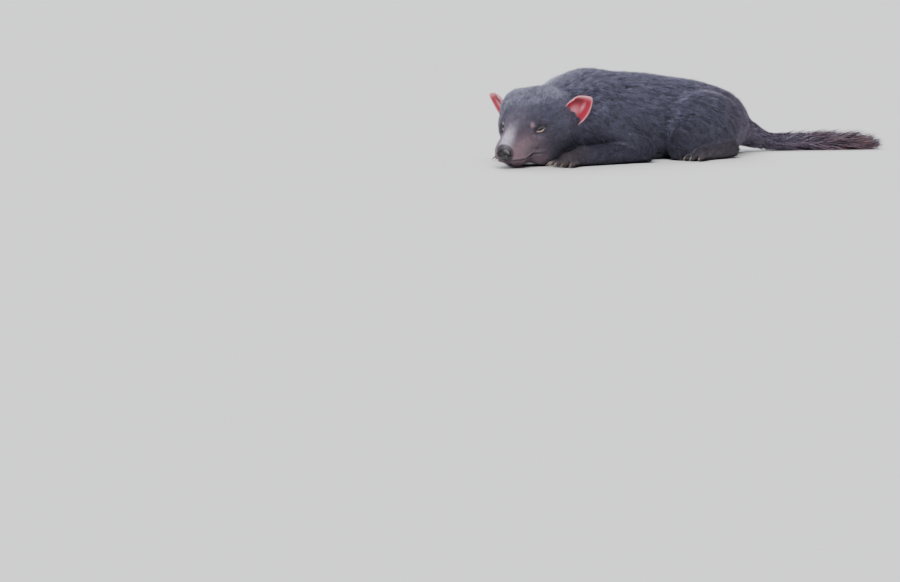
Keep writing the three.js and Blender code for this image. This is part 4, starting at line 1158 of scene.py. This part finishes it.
def read(items, key, width, kind=np.float32):
    """The values of one key of a mesh's items, one row for each item."""
    values = np.empty(len(items) * width, kind)
    items.foreach_get(key, values)
    return values.reshape(-1, width)


LOWEST = 0.0004  # metres over the floor
SLEEK = {"Width": 0.00026, "Slimness": 0.052, "Lift": 0.06, "Wander": 0.18, "Clumping": 1.3}


def grown(name, mask, seed, line, tuft_blade=short_blade, style=SLEEK):
    """One piece of the coat, grown where mask is 1, with its map unrolled round line."""
    cover_now = skin.data.attributes.get("cover") or skin.data.attributes.new("cover", "FLOAT", "POINT")
    cover_now.data.foreach_set("value", np.asarray(cover * mask, np.float32))
    modifier = skin.modifiers.new("coat", "NODES")
    modifier.node_group = coat_tree
    for label, value in {"Blade": tuft_blade, "Seed": seed, **style}.items():
        modifier[inputs[label]] = value
    depsgraph = bpy.context.evaluated_depsgraph_get()
    grown_skin = skin.evaluated_get(depsgraph)
    mesh = bpy.data.meshes.new_from_object(grown_skin, preserve_all_data_layers=True, depsgraph=depsgraph)
    skin.modifiers.remove(modifier)
    mesh.name = name
    spots = read(mesh.vertices, "co", 3)
    spots[:, 2] = np.maximum(spots[:, 2], LOWEST)
    mesh.vertices.foreach_set("co", spots.ravel())
    root = read(mesh.attributes["root"].data, "vector", 3)
    flat = unrolled((root - np.array(shift)) * 1000, line)
    low, high = flat.min(0), flat.max(0)
    flat = (flat - low) / (high - low) * (1 - 2 * PATCH) + PATCH
    layer = mesh.uv_layers["OFBake"]
    corner_of = read(mesh.loops, "vertex_index", 1, np.int32)[:, 0]
    local = read(layer.data, "uv", 2)
    layer.data.foreach_set("uv", (flat[corner_of] + (local - 0.5) * PATCH).ravel())
    for extra in ("root", "lie", "hair", "cover"):
        if extra in mesh.attributes:
            mesh.attributes.remove(mesh.attributes[extra])
    mesh.polygons.foreach_set("use_smooth", [True] * len(mesh.polygons))
    mesh.update()
    made = added(name, mesh)
    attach(made, "root")


# Each stretch of the coat is a piece of its own, and belongs to the mass that its roots lie nearest.
FACE_START = 8  # in the head's frame
BACK_END = 62
spine = catmull([(-60, 0, 45), (0, 0, 48), (60, 0, 48), (130, 0, 45), (205, 0, 38)], 40)
nape = catmull([(-150, -30, 55), (-118, -22, 50), (-80, -10, 50), (-30, 0, 50)], 20)
muzzle_line = moved(head_frame, catmull([(-70, 0, -16), (-20, 0, -16), (30, 0, -18), (90, 0, -16)], 30))
groups = {name: weight[name] for name in ("head", "neck", "trunk", "tail")}
for limb, foot in (("shoulder", None), ("thigh", None), ("forearm", "forepaw"), ("shank", "hindfoot")):
    for n in SIDES:
        groups[f"{limb}_{n}"] = weight[f"{limb}_{n}"] + (weight[f"{foot}_{n}"] if foot else 0)
owner = np.array(list(groups))[np.stack(list(groups.values())).argmax(0)]
in_face = in_head[:, 0] > FACE_START
in_back = corners[:, 0] < BACK_END
stretches = [("neck", owner == "neck", nape)]
for n, s in SIDES.items():
    head_side = (owner == "head") & (in_head[:, 1] * s < 0)
    trunk_side = (owner == "trunk") & (corners[:, 1] * s > 0)
    paw = paws[f"forepaw_{n}"]
    half_way = np.mean([elbows[n], paw["wrist"]], axis=0)
    forearm = catmull([elbows[n], half_way, (-130, paw["ball"][1], 8)], 20)
    shank = catmull([(165, s * 76, 13), (120, s * 78, 14), (70, s * 90, 9)], 20)
    stretches += [
        (f"face_{n}", head_side & in_face, muzzle_line),
        (f"crown_{n}", head_side & ~in_face, muzzle_line),
        (f"back_{n}", trunk_side & in_back, spine),
        (f"loin_{n}", trunk_side & ~in_back, spine),
        (f"shoulder_{n}", owner == f"shoulder_{n}", spine),
        (f"thigh_{n}", owner == f"thigh_{n}", spine),
        (f"forearm_{n}", owner == f"forearm_{n}", forearm),
        (f"shank_{n}", owner == f"shank_{n}", shank),
    ]
for seed, (name, mask, line) in enumerate(stretches):
    grown("coat_" + name, mask, seed * 20 + 5, line)
on_tail = owner == "tail"
grown("coat_tail", on_tail, 405, tail_line)

# The tail ends in a brush of long coarse hair, rooted in its skin among the short coat. It thickens from the
# tail's root and runs on a little past the tip.
COARSE = {"Width": 0.00045, "Slimness": 0.02, "Lift": 0.06, "Wander": 0.3, "Clumping": 1.2}
brush_share = smooth_step(corners[:, 0], 240, 275) * on_tail
cover = 0.42e6 * brush_share * smooth_step(corners[:, 2], 0.8, 4)
long_hair = 0.016 + 0.020 * smooth_step(corners[:, 0], 245, 330)
long_hair -= 0.020 * smooth_step(corners[:, 0], 350, 398)
lengths = np.where(brush_share > 0, long_hair, hair / 1000).astype(np.float32)
skin.data.attributes["hair"].data.foreach_set("value", lengths)
grown("tail_brush_hair", brush_share > 0, 431, tail_line, long_blade, COARSE)
for spare in (short_blade, long_blade):
    bpy.data.objects.remove(spare)

# Whiskers are stiff hairs rooted deep in the skin, in three rows on each side of the muzzle, with one over
# each eye and three on each cheek. They sweep back, bow down and thin out to a point.
WHISKER_SIDES = 5
WHISKER_RINGS = 9
WHISKER_GIRTH = 0.09
whisker_finish, _, _ = new_material("whisker", {"Base Color": (0.22, 0.20, 0.22, 1), "Roughness": 0.35})
dice = np.random.default_rng(3)
rows = [(x, z, 34 + 14 * (58 - x) / 30) for z in (-14, -18.5, -23) for x in (60, 54, 48, 42, 36)]
rows += [(18, 10, 15), (-4, -26, 22), (-8, -30, 20), (-2, -34, 18)]
points, faces = [], []
for s in (1, -1):
    starts = np.array([(x, 0, z) for x, z, _ in rows]) + dice.normal(0, 0.8, (len(rows), 3)) * (1, 0, 1)
    skin_spots = np.concatenate([onto_head(start, np.array([[0, s, 0]])) for start in starts])
    for (x, z, reach), spot in zip(rows, skin_spots):
        reach *= dice.uniform(0.8, 1.2)
        sweep = unit((-0.86, s * (0.5 + 0.2 * dice.random()), -0.05 + 0.25 * dice.normal() * 0.5))
        bow = np.array((-0.3, -s * 0.42, -0.26)) * reach
        t = np.linspace(0, 1, WHISKER_RINGS)[:, None]
        line = moved(head_frame, spot + sweep * reach * t + bow * t**2)
        line[:, 2] = np.maximum(line[:, 2], 0.8)
        way = unit(np.gradient(line, axis=0))
        level = unit(np.cross(way, (0.1, 0.2, 1)))
        upward = np.cross(level, way)
        first = len(points)
        for i in range(WHISKER_RINGS - 1):
            radius = WHISKER_GIRTH * (1 - i / WHISKER_RINGS) + 0.02
            for j in range(WHISKER_SIDES):
                turn = 2 * math.pi * j / WHISKER_SIDES
                points.append(line[i] + radius * (level[i] * math.cos(turn) + upward[i] * math.sin(turn)))
        points.append(line[-1])
        faces += tube_faces(first, WHISKER_RINGS - 1, WHISKER_SIDES)
whiskers = new_object("whiskers", placed(points), faces, whisker_finish)
turned_out(whiskers)
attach(whiskers, "root")
